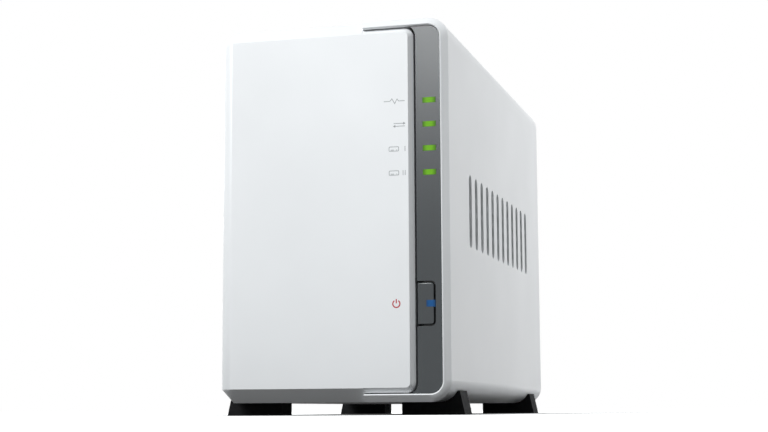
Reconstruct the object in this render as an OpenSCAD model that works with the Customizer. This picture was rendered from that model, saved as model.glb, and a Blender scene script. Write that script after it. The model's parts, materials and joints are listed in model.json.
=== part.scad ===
// Two-bay desktop network attached storage box, in millimetres.
// +X is to the right, +Y to the back and +Z up. The origin is on the floor under the middle of the body.

/* [Body] */
// Width of the two shells
body_w = 100; // [98:1:110]
// Depth of the shells, front face to rear edge
body_d = 225.5; // [224:0.5:250]
// Height over the feet
body_h = 165; // [164:1:180]
// Wall of the two plastic shells
wall = 2.5; // [2:0.1:2.8]
// Radius of the four long edges
corner_r = 8.5; // [7.5:0.1:10]
// Rounding of the rear edges
rear_r = 2; // [1:0.1:2.4]
// Gap under the body
foot_h = 5.3; // [4:0.1:8]

/* [Front] */
// Where the two shells meet, from the middle
seam_x = 13.3; // [10:0.1:16]
// Joint gap between the two shells
seam_gap = 0.3; // [0.2:0.05:0.5]
// Height of the cover's slopes, which run round its front and its left side
slope_h = 5.7; // [4:0.1:7]
// Depth of those slopes
slope_d = 5; // [3.5:0.1:6]
// How much larger the left upright edge's radius is than the slopes' depth
side_extra = 0.2; // [0.1:0.1:2]
// Width of the white rim round the strip
rim_w = 3.3; // [2.9:0.1:3.8]
// Depth of the rim's outer bevel
rim_bevel_d = 2; // [1:0.1:3]
// Small bevel on the rim's inner edge
rim_edge = 0.5; // [0.2:0.1:0.8]
// How far back the rim is thicker than the wall
rim_depth = 6; // [5:0.1:7]
// Width of the dark strip
strip_w = 10.4; // [9.5:0.1:12]
// How far the strip sits behind the front face
strip_recess = 1.2; // [0.6:0.1:2]
// Thickness of the strip
strip_t = 2.2; // [1.8:0.1:2.6]
// Gap between the front panel and the strip
panel_gap = 1; // [0.6:0.1:1.4]
// Gap between the front panel and the rim above and below
panel_end_gap = 0.5; // [0.4:0.1:1]
// Bevel round the free edge of the front panel
panel_bevel = 2; // [1:0.1:2.4]
// Corner radius of the front panel
panel_corner = 4; // [3:0.1:5]
// Depth of the return behind the panel's free edge
panel_return = 8; // [6:0.1:9]

/* [Lights and button] */
// Number of status lights
light_count = 4; // [2:1:5]
// Width of a light window
light_w = 5.6; // [4:0.1:6]
// Height of a light window
light_h = 2.2; // [1.6:0.1:3]
// Distance between the lights
light_pitch = 10.1; // [8:0.1:12]
// Top of the body to the first light
light_drop = 35.1; // [30:0.1:40]
// Width of the power button
button_w = 7; // [6:0.1:7.5]
// Height of the power button
button_h = 17.1; // [14:0.1:20]
// Height of the button's middle over the floor
button_z = 45.3; // [42:0.1:50]
// Gap round the button
button_gap = 0.7; // [0.4:0.1:0.9]
// Corner radius of the button
button_corner = 1.3; // [0.8:0.1:2]
// How far the power button travels
button_travel = 0.5; // [0.3:0.05:0.6]
// Width of the blue lens in the button
lens_w = 3.7; // [3:0.1:4]
// Height of the blue lens
lens_h = 2.7; // [2:0.1:4]

/* [Side vents] */
// Number of vent slots in each side
vent_count = 12; // [8:1:12]
// Width of a slot
vent_w = 5.5; // [4:0.1:7]
// Height of a slot
vent_h = 32; // [20:1:44]
// Distance between slots
vent_pitch = 12.6; // [10:0.1:12.8]
// Height of the vents' middle over the floor
vent_z = 88; // [80:1:95]
// Number of louvre bars behind the slots
louvre_count = 5; // [3:1:6]
// Thickness of a louvre bar
louvre_t = 1.3; // [1:0.1:1.5]

/* [Feet] */
// Length of a foot, front to back
foot_l = 14.1; // [12:0.1:24]
// Front face to the front feet
foot_front = 16.9; // [12:0.1:30]
// Rear feet to the rear edge
foot_rear = 25.6; // [16:0.1:30]
// Width of a right foot's sole
foot_w = 27; // [20:0.1:30]
// Width of a left foot's sole
left_foot_w = 24.4; // [18:0.1:30]
// How far the sole stands out past the side
foot_flare = 2.3; // [0:0.1:3]
// How far the outer end climbs the body's round edge
foot_climb = 4.7; // [3:0.1:6]

/* [Drives] */
// Length of a 3.5 inch drive
drive_l = 147; // [145:0.1:147]
// Width of a drive, upright here
drive_w = 101.6; // [100:0.1:101.6]
// Thickness of a drive
drive_t = 26.1; // [24:0.1:26.2]
// Air gap between the two drives
drive_gap = 4; // [3:0.1:5]
// Top of the inside to the top of the drives
drive_drop = 7.9; // [7.7:0.1:9]
// Radius of a disk
disk_r = 47.5; // [46:0.1:47.5]
// Thickness of a disk
disk_t = 1.3; // [1:0.1:1.6]
// Sheet of the drive's lid
drive_lid_t = 1.2; // [0.8:0.1:1.4]

/* [Cage] */
// Sheet of the drive cage
cage_t = 1; // [0.8:0.1:1.2]
// Gap between the cage's flanges and the drives
cage_gap = 0.2; // [0.1:0.05:0.3]
// Gap between the cage's web and the drives
cage_room = 2; // [1.8:0.1:2.5]
// Diameter of the posts that carry the cage
post_d = 7; // [6:0.1:8]

/* [Fan] */
// Side of the square fan
fan_size = 92; // [90:1:92]
// Thickness of the fan
fan_t = 25; // [25:1:26]
// Top of the inside to the top of the fan
fan_drop = 10.5; // [10.2:0.1:14]
// Fan's edge to the middle of its screw holes
fan_hole_inset = 4.75; // [4.5:0.05:6]
// Number of blades
blade_count = 7; // [5:1:9]
// Diameter of the rotor's cup
rotor_cup_d = 36; // [32:0.5:38]
// Diameter of the rotor's shaft
shaft_d = 3; // [2.5:0.1:3.5]
// Running clearance on the shaft, on the radius
shaft_fit = 0.04; // [0.02:0.01:0.08]

/* [Boards] */
// Thickness of the circuit boards
pcb_t = 1.6; // [1.2:0.1:1.8]
// Height of the mainboard's standoffs
standoff_h = 6.5; // [6:0.1:8]
// Floor of the inside to the mainboard
mainboard_lift = 4.2; // [3:0.1:6]
// Height of the mainboard
mainboard_h = 98; // [96:1:102]
// Height of its rear tab, which carries the sockets
port_tab_h = 45; // [45:0.1:46]

/* [Rear] */
// Sheet of the rear plate
plate_t = 1; // [0.8:0.1:1.2]
// How far the rear plate sits inside the rear edge
plate_recess = 2.75; // [2.2:0.05:4]
// Gap round the rear plate and round the sockets
plate_gap = 0.3; // [0.2:0.05:0.5]
// Width of a ring slot in the fan grille
ring_slot = 3.2; // [2:0.1:3.4]
// Distance between the ring slots
ring_pitch = 5; // [4.4:0.1:6]
// Width of the lock slot
lock_w = 7; // [7:0.1:7.5]
// Height of the lock slot
lock_h = 3; // [3:0.1:3.5]
// Travel of the reset button
reset_travel = 0.4; // [0.25:0.05:0.5]

/* [Screws] */
// Shank of the case, cage and fan screws
screw_d = 2.8; // [2.5:0.1:3]
// Clearance round a shank, on the radius
screw_fit = 0.1; // [0.05:0.01:0.15]
// Head of the case, cage and fan screws
head_d = 5.4; // [5:0.1:5.6]
// Height of the screw heads
head_h = 1.3; // [1:0.1:1.4]

/* [Hidden] */
$fn = 64;

// A little more than a cut needs, so that it runs past the faces
over = 1;
// Clearance of a part that drops into its place
snug = 0.05;
// Clearance between the fixed and the sliding shell
slide_gap = 0.4;

// The shells' box, outside and inside
half_w = body_w / 2;
y_front = -body_d / 2;
y_back = body_d / 2;
in_x = half_w - wall;
z_floor = foot_h + wall;
z_top = body_h - wall;
z_mid = (foot_h + body_h) / 2;
cover_edge_x = seam_x - seam_gap / 2;
shell_edge_x = seam_x + seam_gap / 2;

// The cover's slopes: their lean, and where the flat between them starts and ends when set in by a margin
slope_lean = atan(slope_d / slope_h);
side_fillet = slope_d + side_extra;
function flat_z0(inset) = foot_h + slope_h + inset * tan(slope_lean / 2);
function flat_z1(inset) = body_h - slope_h - inset * tan(slope_lean / 2);

// The front panel, the strip and the rim's mouth
lip_x = half_w - rim_w;
lip_z0 = foot_h + rim_w;
lip_z1 = body_h - rim_w;
lip_r = corner_r - rim_w;
bezel_fit = 0.2;
bezel_x1 = lip_x - bezel_fit;
strip_x0 = bezel_x1 - strip_w;
panel_x = strip_x0 - panel_gap;
panel_z0 = lip_z0 + panel_end_gap;
panel_z1 = lip_z1 - panel_end_gap;
strip_y0 = y_front + strip_recess;
strip_y1 = strip_y0 + strip_t;
bezel_wall = 1.5;
bezel_y1 = y_front + panel_return + 2.2;
flange_t = 1.5;
window_room = 5;
nib_l = 2;
nib_h = 8;
nib_pitch = 55;
front_room = 16.35;
front_board_y1 = y_front + front_room;
front_board_y0 = front_board_y1 - pcb_t;

// The rails on the right shell and the hooks on the cover
rail_end = 6;
rail_y0 = y_front + panel_return + rail_end;
rail_y1 = y_back - rail_end;
rail_t = 1.2;
rail_x0 = seam_x - 3.8;
rail_x1 = seam_x + 3.7;
rail_lip = 1.6;
hook_t = 1.3;
hook_l = 10;
hook_leg = 1.8;
hook_front = 28;
hook_rear = 44;
hook_ys = [y_front + hook_front, 0, y_back - hook_rear];

// The rear plate and the fan
plate_y1 = y_back - plate_recess;
plate_y0 = plate_y1 - plate_t;
fan_y0 = plate_y0 - fan_t;
fan_z = z_top - fan_drop - fan_size / 2;
fan_z0 = fan_z - fan_size / 2;
boss_d = 5.4;
boss_l = 10;
boss_x = in_x - boss_d / 2 - 0.6;
boss_lift = 12.2;
boss_zs = [z_floor + boss_lift, z_top - fan_drop + boss_d / 2 + 0.8];
hole_d = screw_d + 2 * screw_fit;
fan_pitch = fan_size - 2 * fan_hole_inset;
fan_ring_d = fan_size - 3;
rotor_d = fan_ring_d - 2;
bearing_d = 7;
fan_hub_y0 = plate_y0 - 4;

// The drives, counted back from the front board, and the riser behind them
drive_room = 2.4;
socket_l = 4;
drive_y0 = front_board_y1 + drive_room;
drive_y1 = drive_y0 + drive_l;
riser_y0 = drive_y1 + socket_l;
riser_y1 = riser_y0 + pcb_t;
drive_z1 = z_top - drive_drop;
drive_z0 = drive_z1 - drive_w;
drive_zc = (drive_z0 + drive_z1) / 2;

// The mainboard, on standoffs from the right wall
board_x1 = in_x - standoff_h;
board_x0 = board_x1 - pcb_t;
board_z0 = z_floor + mainboard_lift;
board_z1 = board_z0 + mainboard_h;
board_y0 = drive_y0 + 24;
board_y1 = fan_y0 - 4;
board_hole_d = 3.2;
board_hole_inset = 6;
board_rear_hole = 14;
standoff_d = 6;
mainboard_holes = [
  [board_y0 + board_hole_inset, board_z0 + board_hole_inset],
  [board_y0 + board_hole_inset, board_z1 - board_hole_inset],
  [board_y1 - board_hole_inset, board_z1 - board_hole_inset],
  [board_y1 - board_rear_hole, board_z0 + board_hole_inset]
];

// The cage and the drives, counted left from the mainboard
cage_x1 = board_x0 - 17.2;
cage_x0 = cage_x1 - cage_t;
drive_2_x1 = cage_x0 - cage_room;
drive_1_x1 = drive_2_x1 - drive_t - drive_gap;
cage_left = drive_1_x1 - drive_t - 1;
cage_y0 = drive_y0 - 2;
air_pitch = 26;
air_w = 18;
air_h = 48;
cage_posts = [
  [drive_y0 + 4, drive_z0 + 7], [drive_y0 + 4, drive_z1 - 7],
  [drive_y1 - 9, drive_z1 - 7], [drive_y1 - 9, board_z1 + post_d / 2 + 4]
];
drive_hole_rear = 28.5;
drive_hole_pitch = 101.6;
drive_hole_ys = [drive_y1 - drive_hole_rear, drive_y1 - drive_hole_rear - drive_hole_pitch];
drive_hole_x = 6.35;
drive_hole_depth = 5;
drive_screw_d = 3.3;
drive_screw_l = 5;
drive_head_d = 5.6;

// Inside a drive, measured from its lid side
drive_skin = 1.9;
disk_room = 1.3;
drive_end = 3;
disk_cy = drive_y0 + drive_end + disk_room + disk_r;
disk_pocket = 15;
pocket_wall = 8;
hub_r = 12.5;
hub_x = 3;
disk_x = 5;
disk_pitch = 4;
disk_offsets = [for (i = [0, 1]) disk_x + i * disk_pitch];
arm_t = 1.1;
arm_offsets = [for (i = [0 : 2]) disk_x - (disk_pitch - disk_t + arm_t) / 2 + i * disk_pitch];
arm_l = 50;
arm_angle = 160;
arm_root = 6;
arm_tip = 1;
arm_hub_d = 14;
coil_l = 20;
coil_w = 16;
coil_t = 2.4;
pin_r = 3;
pivot_back = 56;
pivot_up = 28;
pivot_y = disk_cy + pivot_back;
pivot_z = drive_zc + pivot_up;

// The drive's board and connector, the riser's edge and its sockets
drive_board_room = 2.4;
drive_board_front = 30;
drive_board_edge = 7;
connector_z0 = drive_z0 + 10;
connector_h = 38;
connector_l = 8;
connector_t = 8;
tongue_l = 5;
tongue_t = 1.2;
riser_z0 = connector_z0 - 2;
riser_z1 = connector_z0 + connector_h + 2;
slot_h = 6;
slot_depth = 3.6;
slot_wall = 2;

// The front board, behind the strip
front_board_x0 = strip_x0 - 1;
front_board_x1 = front_board_x0 + 11;
light_x0 = strip_x0 + 2.9;
light_zs = [for (i = [0 : light_count - 1]) body_h - light_drop - i * light_pitch];
front_board_z0 = button_z - 12;
front_board_z1 = light_zs[0] + 11;
front_post_x = light_x0 + light_w / 2;
front_post_zs = [button_z + 20.7, light_zs[0] + 7.6];
led_t = 1.2;
switch_w = 6;
switch_t = 3.4;
button_x0 = strip_x0 + 0.1;
button_x1 = button_x0 + button_w;
stem_x = button_x0 + 3.8;
plunger_d = 3.5;
plunger_y0 = front_board_y0 - switch_t - 0.8;

// The ribbon from the front board to the mainboard
ribbon_x = board_x0 - 1.5;
ribbon_w = 10;
ribbon_t = 0.3;
ribbon_z = button_z + 38;
ribbon_socket_l = 3;

// The sockets in a column on the rear tab
tab_y1 = plate_y0 - 0.5;
port_y1 = plate_y1 + 0.3;
inlet_z = board_z0 + 4.8;
inlet_w = 9;
inlet_x = board_x0 - 6.5;
inlet_h = 11;
inlet_l = 14;
inlet_depth = 11;
inlet_bore_d = 6.2;
inlet_pin_d = 2.4;
lan_z0 = inlet_z + inlet_w / 2 + 0.7;
lan_w = 16;
lan_h = 13.5;
lan_l = 21.3;
lan_mouth_w = 12;
lan_mouth_h = 8;
lan_depth = 13;
usb_z0 = lan_z0 + lan_w + 0.8;
usb_w = 13.1;
usb_h = 16;
usb_l = 17.5;
usb_mouth_h = 5.2;
usb_tongue_t = 1.7;
usb_depth = 10;
reset_z = usb_z0 + usb_w + 2.9;
reset_x = board_x0 - 2.2;
reset_d = 1.8;
reset_switch_y1 = plate_y0 - 2.5;
lock_x = -30;
lock_z0 = z_floor + 22;

// Thin parts on the mainboard's face
chip_t = 1.5;
chip_w = 19;
chip_y = (board_y0 + board_y1) / 2 - 10;
chip_z = board_z0 + 48;
sink_w = 40;
sink_h = 9;
sink_base = 2;
fin_t = 1.2;
fin_count = 9;
memory_w = 10;
memory_h = 13;
memory_t = 1.1;
memory_pitch = 13;
capacitor_d = 6.3;
capacitor_h = 8;
capacitor_pitch = 10;
inductor_w = 7;
inductor_h = 4;
inductor_pitch = 9.5;
cell_d = 20;
cell_t = 3.2;
cell_base = 1.5;
cell_holder_w = 24;
cell_y = board_y0 + cell_holder_w - 2;
cell_z = board_z1 - cell_holder_w + 4;
buzzer_d = 12;
buzzer_h = 8;
header_l = 5;
header_w = 10.6;
header_h = 5.6;
plug_l = 6;
plug_w = 9.6;
plug_t = 4.8;
plug_y0 = board_y1 - plug_l - 3;
plug_z = board_z0 + 32;
cable_d = 3;
cable_x = board_x0 - header_h / 2 - 0.1;
cable_y = plate_y0 - 21;
cable_bend = 6;

// ---- helpers ----

// A box from its lowest to its highest corner
module block(x0, x1, y0, y1, z0, z1) translate([x0, y0, z0]) cube([x1 - x0, y1 - y0, z1 - z0]);

// An outline in (y, z), drawn out along X
module along_x(x0, x1) translate([x0, 0, 0]) rotate([90, 0, 90]) linear_extrude(x1 - x0) children();

// An outline in (x, z), drawn out along Y
module along_y(y0, y1) translate([0, y1, 0]) rotate([90, 0, 0]) linear_extrude(y1 - y0) children();

module rod_x(y, z, x0, x1, d) translate([x0, y, z]) rotate([0, 90, 0]) cylinder(d = d, h = x1 - x0);
module rod_y(x, z, y0, y1, d) translate([x, y0, z]) rotate([-90, 0, 0]) cylinder(d = d, h = y1 - y0);

// A rectangle with round corners
module rounded(x0, x1, z0, z1, r) {
  translate([x0 + r, z0]) square([x1 - x0 - 2 * r, z1 - z0]);
  translate([x0, z0 + r]) square([x1 - x0, z1 - z0 - 2 * r]);
  for (x = [x0 + r, x1 - r], z = [z0 + r, z1 - r]) translate([x, z]) circle(r);
}

// A rectangle with round corners on its right side only
module right_rounded(x0, x1, z0, z1, r) {
  translate([x0, z0]) square([x1 - x0 - r, z1 - z0]);
  translate([x0, z0 + r]) square([x1 - x0, z1 - z0 - 2 * r]);
  for (z = [z0 + r, z1 - r]) translate([x1 - r, z]) circle(r);
}

// Half the outline of a bar, with a bevel at its front and a rounding at its back
module half_outline(s, l, bevel, bevel_d, back_r) {
  polygon(concat(
    [[0, 0]],
    bevel == 0 ? [[s, 0]] : [[s - bevel, 0], [s, bevel_d]],
    back_r == 0 ? [[s, l]] : [[s, l - back_r], [s - back_r, l]],
    [[0, l]]
  ));
  if (back_r > 0) translate([s - back_r, l - back_r]) circle(back_r);
}

module full_outline(s, l, bevel, bevel_d, back_r) {
  half_outline(s, l, bevel, bevel_d, back_r);
  mirror([1, 0]) half_outline(s, l, bevel, bevel_d, back_r);
}

// A bar along Y with round long edges
module bar(x0, x1, z0, z1, r, y0, y1, bevel = 0, bevel_d = 0, back_r = 0) {
  l = y1 - y0;
  for (x = [x0 + r, x1 - r], z = [z0 + r, z1 - r])
    translate([x, y0, z]) rotate([-90, 0, 0]) rotate_extrude() half_outline(r, l, bevel, bevel_d, back_r);
  translate([x0 + r, y0, (z0 + z1) / 2]) rotate([0, 90, 0])
    linear_extrude(x1 - x0 - 2 * r) full_outline((z1 - z0) / 2, l, bevel, bevel_d, back_r);
  translate([(x0 + x1) / 2, y0, z0 + r])
    linear_extrude(z1 - z0 - 2 * r) full_outline((x1 - x0) / 2, l, bevel, bevel_d, back_r);
}

// A pan-head screw with a cross recess: the head stands on z = 0 and the shank points down
module screw(l, d, big_d, big_h) {
  difference() {
    cylinder(d = big_d, h = big_h);
    for (a = [0, 90]) rotate(a) translate([-big_d * 0.3, -0.35, big_h * 0.4]) cube([big_d * 0.6, 0.7, big_h]);
  }
  translate([0, 0, -l]) cylinder(d = d, h = l + big_h * 0.2);
}

// Turn something that points up so that it points along an axis
module to_left() rotate([0, -90, 0]) children();
module to_back() rotate([-90, 0, 0]) children();
module to_front() rotate([90, 0, 0]) children();

// ---- the two shells ----

// An outline with sloping corners at its low end, in (x, z) or (y, z), from u0 to u1, set in by a margin
module slope_outline(u0, u1, inset) {
  slope_u = u0 + slope_d + inset * tan(45 - slope_lean / 2);
  z0 = foot_h + inset;
  z1 = body_h - inset;
  polygon([
    [u0 + inset, flat_z0(inset)], [u0 + inset, flat_z1(inset)], [slope_u, z1], [u1, z1], [u1, z0], [slope_u, z0]
  ]);
}

// The cover's form, outside or set in by the wall, as far right as x1
module cover_form(inset, x1, y1, back_r) {
  r = side_fillet - inset;
  rise = r * slope_h / slope_d;
  corner = [-half_w + side_fillet, y_front + side_fillet];
  difference() {
    intersection() {
      along_y(y_front + inset, y1) slope_outline(-half_w, x1, inset);
      along_x(-half_w + inset, x1) difference() {
        slope_outline(y_front, y1, inset);
        if (back_r > 0) for (s = [-1, 1])
          translate([y1 - back_r, z_mid + s * (z_mid - foot_h - inset - back_r)]) rear_corner(back_r, s);
      }
    }
    // the round upright edge, which narrows to nothing along the slopes
    difference() {
      block(-half_w - over, corner[0], y_front - over, corner[1], flat_z0(inset) - rise, flat_z1(inset) + rise);
      translate(corner) rotate_extrude() polygon([
        [0, flat_z0(inset) - rise], [r, flat_z0(inset)], [r, flat_z1(inset)], [0, flat_z1(inset) + rise]
      ]);
    }
    // the rounding of the left rear edge
    if (back_r > 0) translate([-half_w + inset + back_r, y1 - back_r, 0]) linear_extrude(body_h + over)
      rotate(90) rear_corner(back_r, 1);
  }
}

// What a rounding takes off a corner that points along u and, with the side, up or down
module rear_corner(r, side) difference() {
  translate([0, side > 0 ? 0 : -r - over]) square(r + over);
  circle(r);
}

// A row of round-ended slots in (y, z)
module vent_outline() {
  for (i = [0 : vent_count - 1]) {
    y = (i - (vent_count - 1) / 2) * vent_pitch;
    translate([y - vent_w / 2, vent_z - vent_h / 2 + vent_w / 2]) square([vent_w, vent_h - vent_w]);
    for (s = [-1, 1]) translate([y, vent_z + s * (vent_h - vent_w) / 2]) circle(d = vent_w);
  }
}

// The louvre bars that cross behind the slots of the right wall
module louvres() {
  step = vent_h / louvre_count;
  for (i = [0 : louvre_count - 1]) {
    z = vent_z + (i - (louvre_count - 1) / 2) * step;
    block(in_x, in_x + louvre_t, -vent_count * vent_pitch / 2, vent_count * vent_pitch / 2, z - 0.7, z + 0.7);
  }
}

// A screw boss with its web to the right wall
module rear_boss(z) {
  difference() {
    union() {
      rod_y(boss_x, z, plate_y0 - boss_l, plate_y0, boss_d);
      block(boss_x, in_x + wall / 2, plate_y0 - boss_l, plate_y0, z - 1, z + 1);
    }
    rod_y(boss_x, z, plate_y0 - boss_l - over, plate_y0 + over, hole_d);
  }
}

// A hook under the top rail, which slides along it
module cover_hook(y) {
  rail_z0 = z_top - 0.25 - rail_t;
  lip_z = rail_z0 - rail_lip;
  base_z = lip_z - slide_gap - hook_t;
  leg_x = rail_x0 - slide_gap - 1.8;
  block(leg_x, leg_x + 1.8, y, y + hook_l, base_z, z_top + wall / 2);
  block(leg_x, rail_x0 + rail_t + slide_gap + hook_t, y, y + hook_l, base_z, base_z + hook_t);
  block(rail_x0 + rail_t + slide_gap, rail_x0 + rail_t + slide_gap + hook_t, y, y + hook_l,
    base_z, rail_z0 - slide_gap);
}

// The rail that runs under the cover's edge, with its turned-down lip
module seam_rail() {
  z = z_top - 0.25;
  block(rail_x0, rail_x1, rail_y0, rail_y1, z - rail_t, z);
  block(shell_edge_x, rail_x1, rail_y0, rail_y1, z - rail_t, z_top + wall / 2);
  block(rail_x0, rail_x0 + rail_t, rail_y0, rail_y1, z - rail_t - rail_lip, z - rail_t / 2);
}

// What repeats at the top and, upside down, at the bottom
module top_and_bottom() {
  children();
  translate([0, 0, 2 * z_mid]) mirror([0, 0, 1]) children();
}

module left_cover() color("white") {
  difference() {
    union() {
      cover_form(0, cover_edge_x, y_back, rear_r);
      bar(seam_x - 15, panel_x, panel_z0, panel_z1, panel_corner, y_front, y_front + panel_return,
        panel_bevel, panel_bevel);
    }
    cover_form(wall, shell_edge_x + 0.5, y_back + over, 0);
    bar(seam_x - 20, panel_x - wall, panel_z0 + wall, panel_z1 - wall, panel_corner - wall,
      y_front + wall, y_front + panel_return + over);
    along_x(-half_w - over, -in_x + over) vent_outline();
  }
  mirror([1, 0, 0]) {
    louvres();
    for (z = boss_zs) rear_boss(z);
  }
  top_and_bottom() for (y = hook_ys) cover_hook(y);
}

module right_shell() color("white") {
  difference() {
    bar(-half_w, half_w, foot_h, body_h, corner_r, y_front, y_back, rim_w - rim_edge, rim_bevel_d, rear_r);
    block(-half_w - over, shell_edge_x, y_front - over, y_back + over, 0, body_h + over);
    bar(-in_x, in_x, z_floor, z_top, corner_r - wall, y_front + rim_depth, y_back + over);
    bar(-lip_x, lip_x, lip_z0, lip_z1, lip_r, y_front - over, y_front + rim_depth + over);
    bar(-lip_x, lip_x, lip_z0, lip_z1, lip_r, y_front - rim_edge, y_front + 2 * rim_edge,
      -2 * rim_edge, 2 * rim_edge);
    along_x(in_x - over, half_w + over) vent_outline();
  }
  louvres();
  for (z = boss_zs) rear_boss(z);
  top_and_bottom() seam_rail();
  // posts for the drive cage
  for (p = cage_posts) difference() {
    rod_x(p[0], p[1], cage_x1, in_x + wall / 2, post_d);
    rod_x(p[0], p[1], cage_x1 - over, cage_x1 + 9, hole_d);
  }
  // standoffs for the mainboard
  for (p = mainboard_holes) difference() {
    rod_x(p[0], p[1], board_x1, in_x + wall / 2, standoff_d);
    rod_x(p[0], p[1], board_x1 - over, in_x, hole_d);
  }
  // nibs that snap behind the bezel's flange
  nib_y0 = y_front + rim_depth + flange_t + 2 * snug;
  for (z = [z_mid - nib_pitch, z_mid, z_mid + nib_pitch])
    block(bezel_x1 + 2 * snug, in_x + wall / 2, nib_y0, nib_y0 + nib_l, z - nib_h / 2, z + nib_h / 2);
}

// ---- the front ----

// The strip's outline in (x, z): the rim's mouth less the panel and its gap
module strip_outline() {
  difference() {
    mouth_outline(seam_x, bezel_fit);
    rounded(-half_w, strip_x0, panel_z0 - panel_gap, panel_z1 + panel_gap, panel_corner + panel_gap);
  }
}

// The mouth's outline right of x0, set in by a margin
module mouth_outline(x0, margin)
  right_rounded(x0, lip_x - margin, lip_z0 + margin, lip_z1 - margin, lip_r - margin);

// The power button's outline, wider by a margin
module button_outline(margin)
  right_rounded(strip_x0 - over, button_x1 + margin, button_z - button_h / 2 - margin,
    button_z + button_h / 2 + margin, button_corner + margin);

module front_bezel() color("dimgray") {
  flange_y0 = y_front + rim_depth;
  inner = bezel_fit + bezel_wall;
  difference() {
    union() {
      along_y(strip_y0, strip_y1) strip_outline();
      // side walls behind the strip
      along_y(strip_y1 - 0.2, bezel_y1) difference() {
        mouth_outline(strip_x0, bezel_fit);
        mouth_outline(strip_x0 + bezel_wall, inner);
      }
      // flange that bears on the back of the rim
      along_y(flange_y0, flange_y0 + flange_t) difference() {
        right_rounded(strip_x0, in_x - bezel_fit, z_floor + bezel_fit, z_top - bezel_fit, corner_r - wall);
        mouth_outline(strip_x0 - over, inner);
      }
      // frame behind the panel's free edge, as far as the seam
      along_y(bezel_y1 - flange_t, bezel_y1) difference() {
        mouth_outline(shell_edge_x + 0.5, bezel_fit);
        right_rounded(shell_edge_x, strip_x0 - window_room, lip_z0 + window_room, lip_z1 - window_room, 2);
        right_rounded(strip_x0 + bezel_wall, bezel_x1 - bezel_wall,
          lip_z0 + window_room, lip_z1 - window_room, 2);
      }
      // posts for the front board
      for (z = front_post_zs) rod_y(front_post_x, z, strip_y1 - 0.2, front_board_y0, 5);
    }
    for (z = front_post_zs) rod_y(front_post_x, z, front_board_y0 - 7, front_board_y0 + over, 2.2);
    along_y(strip_y0 - over, bezel_y1 + over) button_outline(button_gap);
    for (z = light_zs)
      block(light_x0 - snug, light_x0 + light_w + snug, strip_y0 - over, strip_y1 + over,
        z - light_h / 2 - snug, z + light_h / 2 + snug);
  }
}

module power_button() color("dimgray") {
  cap_y1 = strip_y0 + 3;
  difference() {
    union() {
      intersection() {
        bar(strip_x0 - 20, button_x1, button_z - button_h / 2, button_z + button_h / 2, button_corner,
          strip_y0 - 0.1, cap_y1, 0.4, 0.4);
        block(button_x0, half_w, y_front - over, cap_y1 + over, 0, body_h);
      }
      // flange that stops the button behind the strip
      block(button_x0 + 1.8, button_x1 + 1.2, strip_y1 + 0.1, strip_y1 + 1.3,
        button_z - button_h / 2 - 1.6, button_z + button_h / 2 + 1.6);
      rod_y(stem_x, button_z, cap_y1 - 0.5, plunger_y0, 4);
    }
    lens_hole(snug);
  }
}

module lens_hole(margin) {
  x1 = button_x1 + button_gap - 0.2;
  block(x1 - lens_w - margin, x1 + margin, strip_y0 - 0.2, strip_y0 + 1.9, button_z - lens_h / 2 - margin,
    button_z + lens_h / 2 + margin);
}

module power_button_lens() color("dodgerblue") lens_hole(0);

module light_guide() color("limegreen") {
  rail_y = strip_y1 + 0.3;
  for (z = light_zs)
    block(light_x0, light_x0 + light_w, strip_y0 - 0.15, front_board_y0 - led_t - 0.2,
      z - light_h / 2, z + light_h / 2);
  block(light_x0 + light_w - 1.5, light_x0 + light_w, rail_y, rail_y + 1.5,
    light_zs[light_count - 1] - light_h / 2, light_zs[0] + light_h / 2);
}

module front_board() color("darkgreen") {
  difference() {
    block(front_board_x0, front_board_x1, front_board_y0, front_board_y1, front_board_z0, front_board_z1);
    for (z = front_post_zs) rod_y(front_post_x, z, front_board_y0 - over, front_board_y1 + over, 2.7);
  }
}

module front_leds() color("ivory") {
  for (z = light_zs)
    block(front_post_x - 1.6, front_post_x + 1.6, front_board_y0 - led_t, front_board_y0, z - 0.8, z + 0.8);
  block(stem_x + switch_w / 2 + 0.6, stem_x + switch_w / 2 + 2.2, front_board_y0 - led_t, front_board_y0,
    button_z - 1.6, button_z + 1.6);
}

module power_switch_body() color("black") {
  difference() {
    block(stem_x - switch_w / 2, stem_x + switch_w / 2, front_board_y0 - switch_t, front_board_y0,
      button_z - switch_w / 2, button_z + switch_w / 2);
    rod_y(stem_x, button_z, front_board_y0 - switch_t - over, front_board_y0 - 1, plunger_d + 2 * snug);
  }
}

module power_switch_plunger() color("gray")
  rod_y(stem_x, button_z, plunger_y0, front_board_y0 - 1.2 - button_travel, plunger_d);

module front_board_screws() color("silver")
  for (z = front_post_zs) translate([front_post_x, front_board_y1, z]) to_back() screw(6, 2, 4, 1.2);

module front_cable_sockets() color("ivory") {
  // on the back of the front board, and on the front edge of the mainboard
  difference() {
    union() {
      block(ribbon_x - 1.5, ribbon_x + 1.5, front_board_y1, front_board_y1 + ribbon_socket_l,
        ribbon_z - 6.5, ribbon_z + 6.5);
      block(ribbon_x - 1.5, board_x0, board_y0 + 1, board_y0 + 1 + ribbon_socket_l,
        ribbon_z - 6.5, ribbon_z + 6.5);
    }
    ribbon(snug);
  }
}

module ribbon(margin)
  block(ribbon_x - ribbon_t / 2 - margin, ribbon_x + ribbon_t / 2 + margin, front_board_y1 + 1 - margin,
    board_y0 + 3 + margin, ribbon_z - ribbon_w / 2 - margin, ribbon_z + ribbon_w / 2 + margin);

module front_cable() color("white") ribbon(0);

// ---- the drives ----

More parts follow.
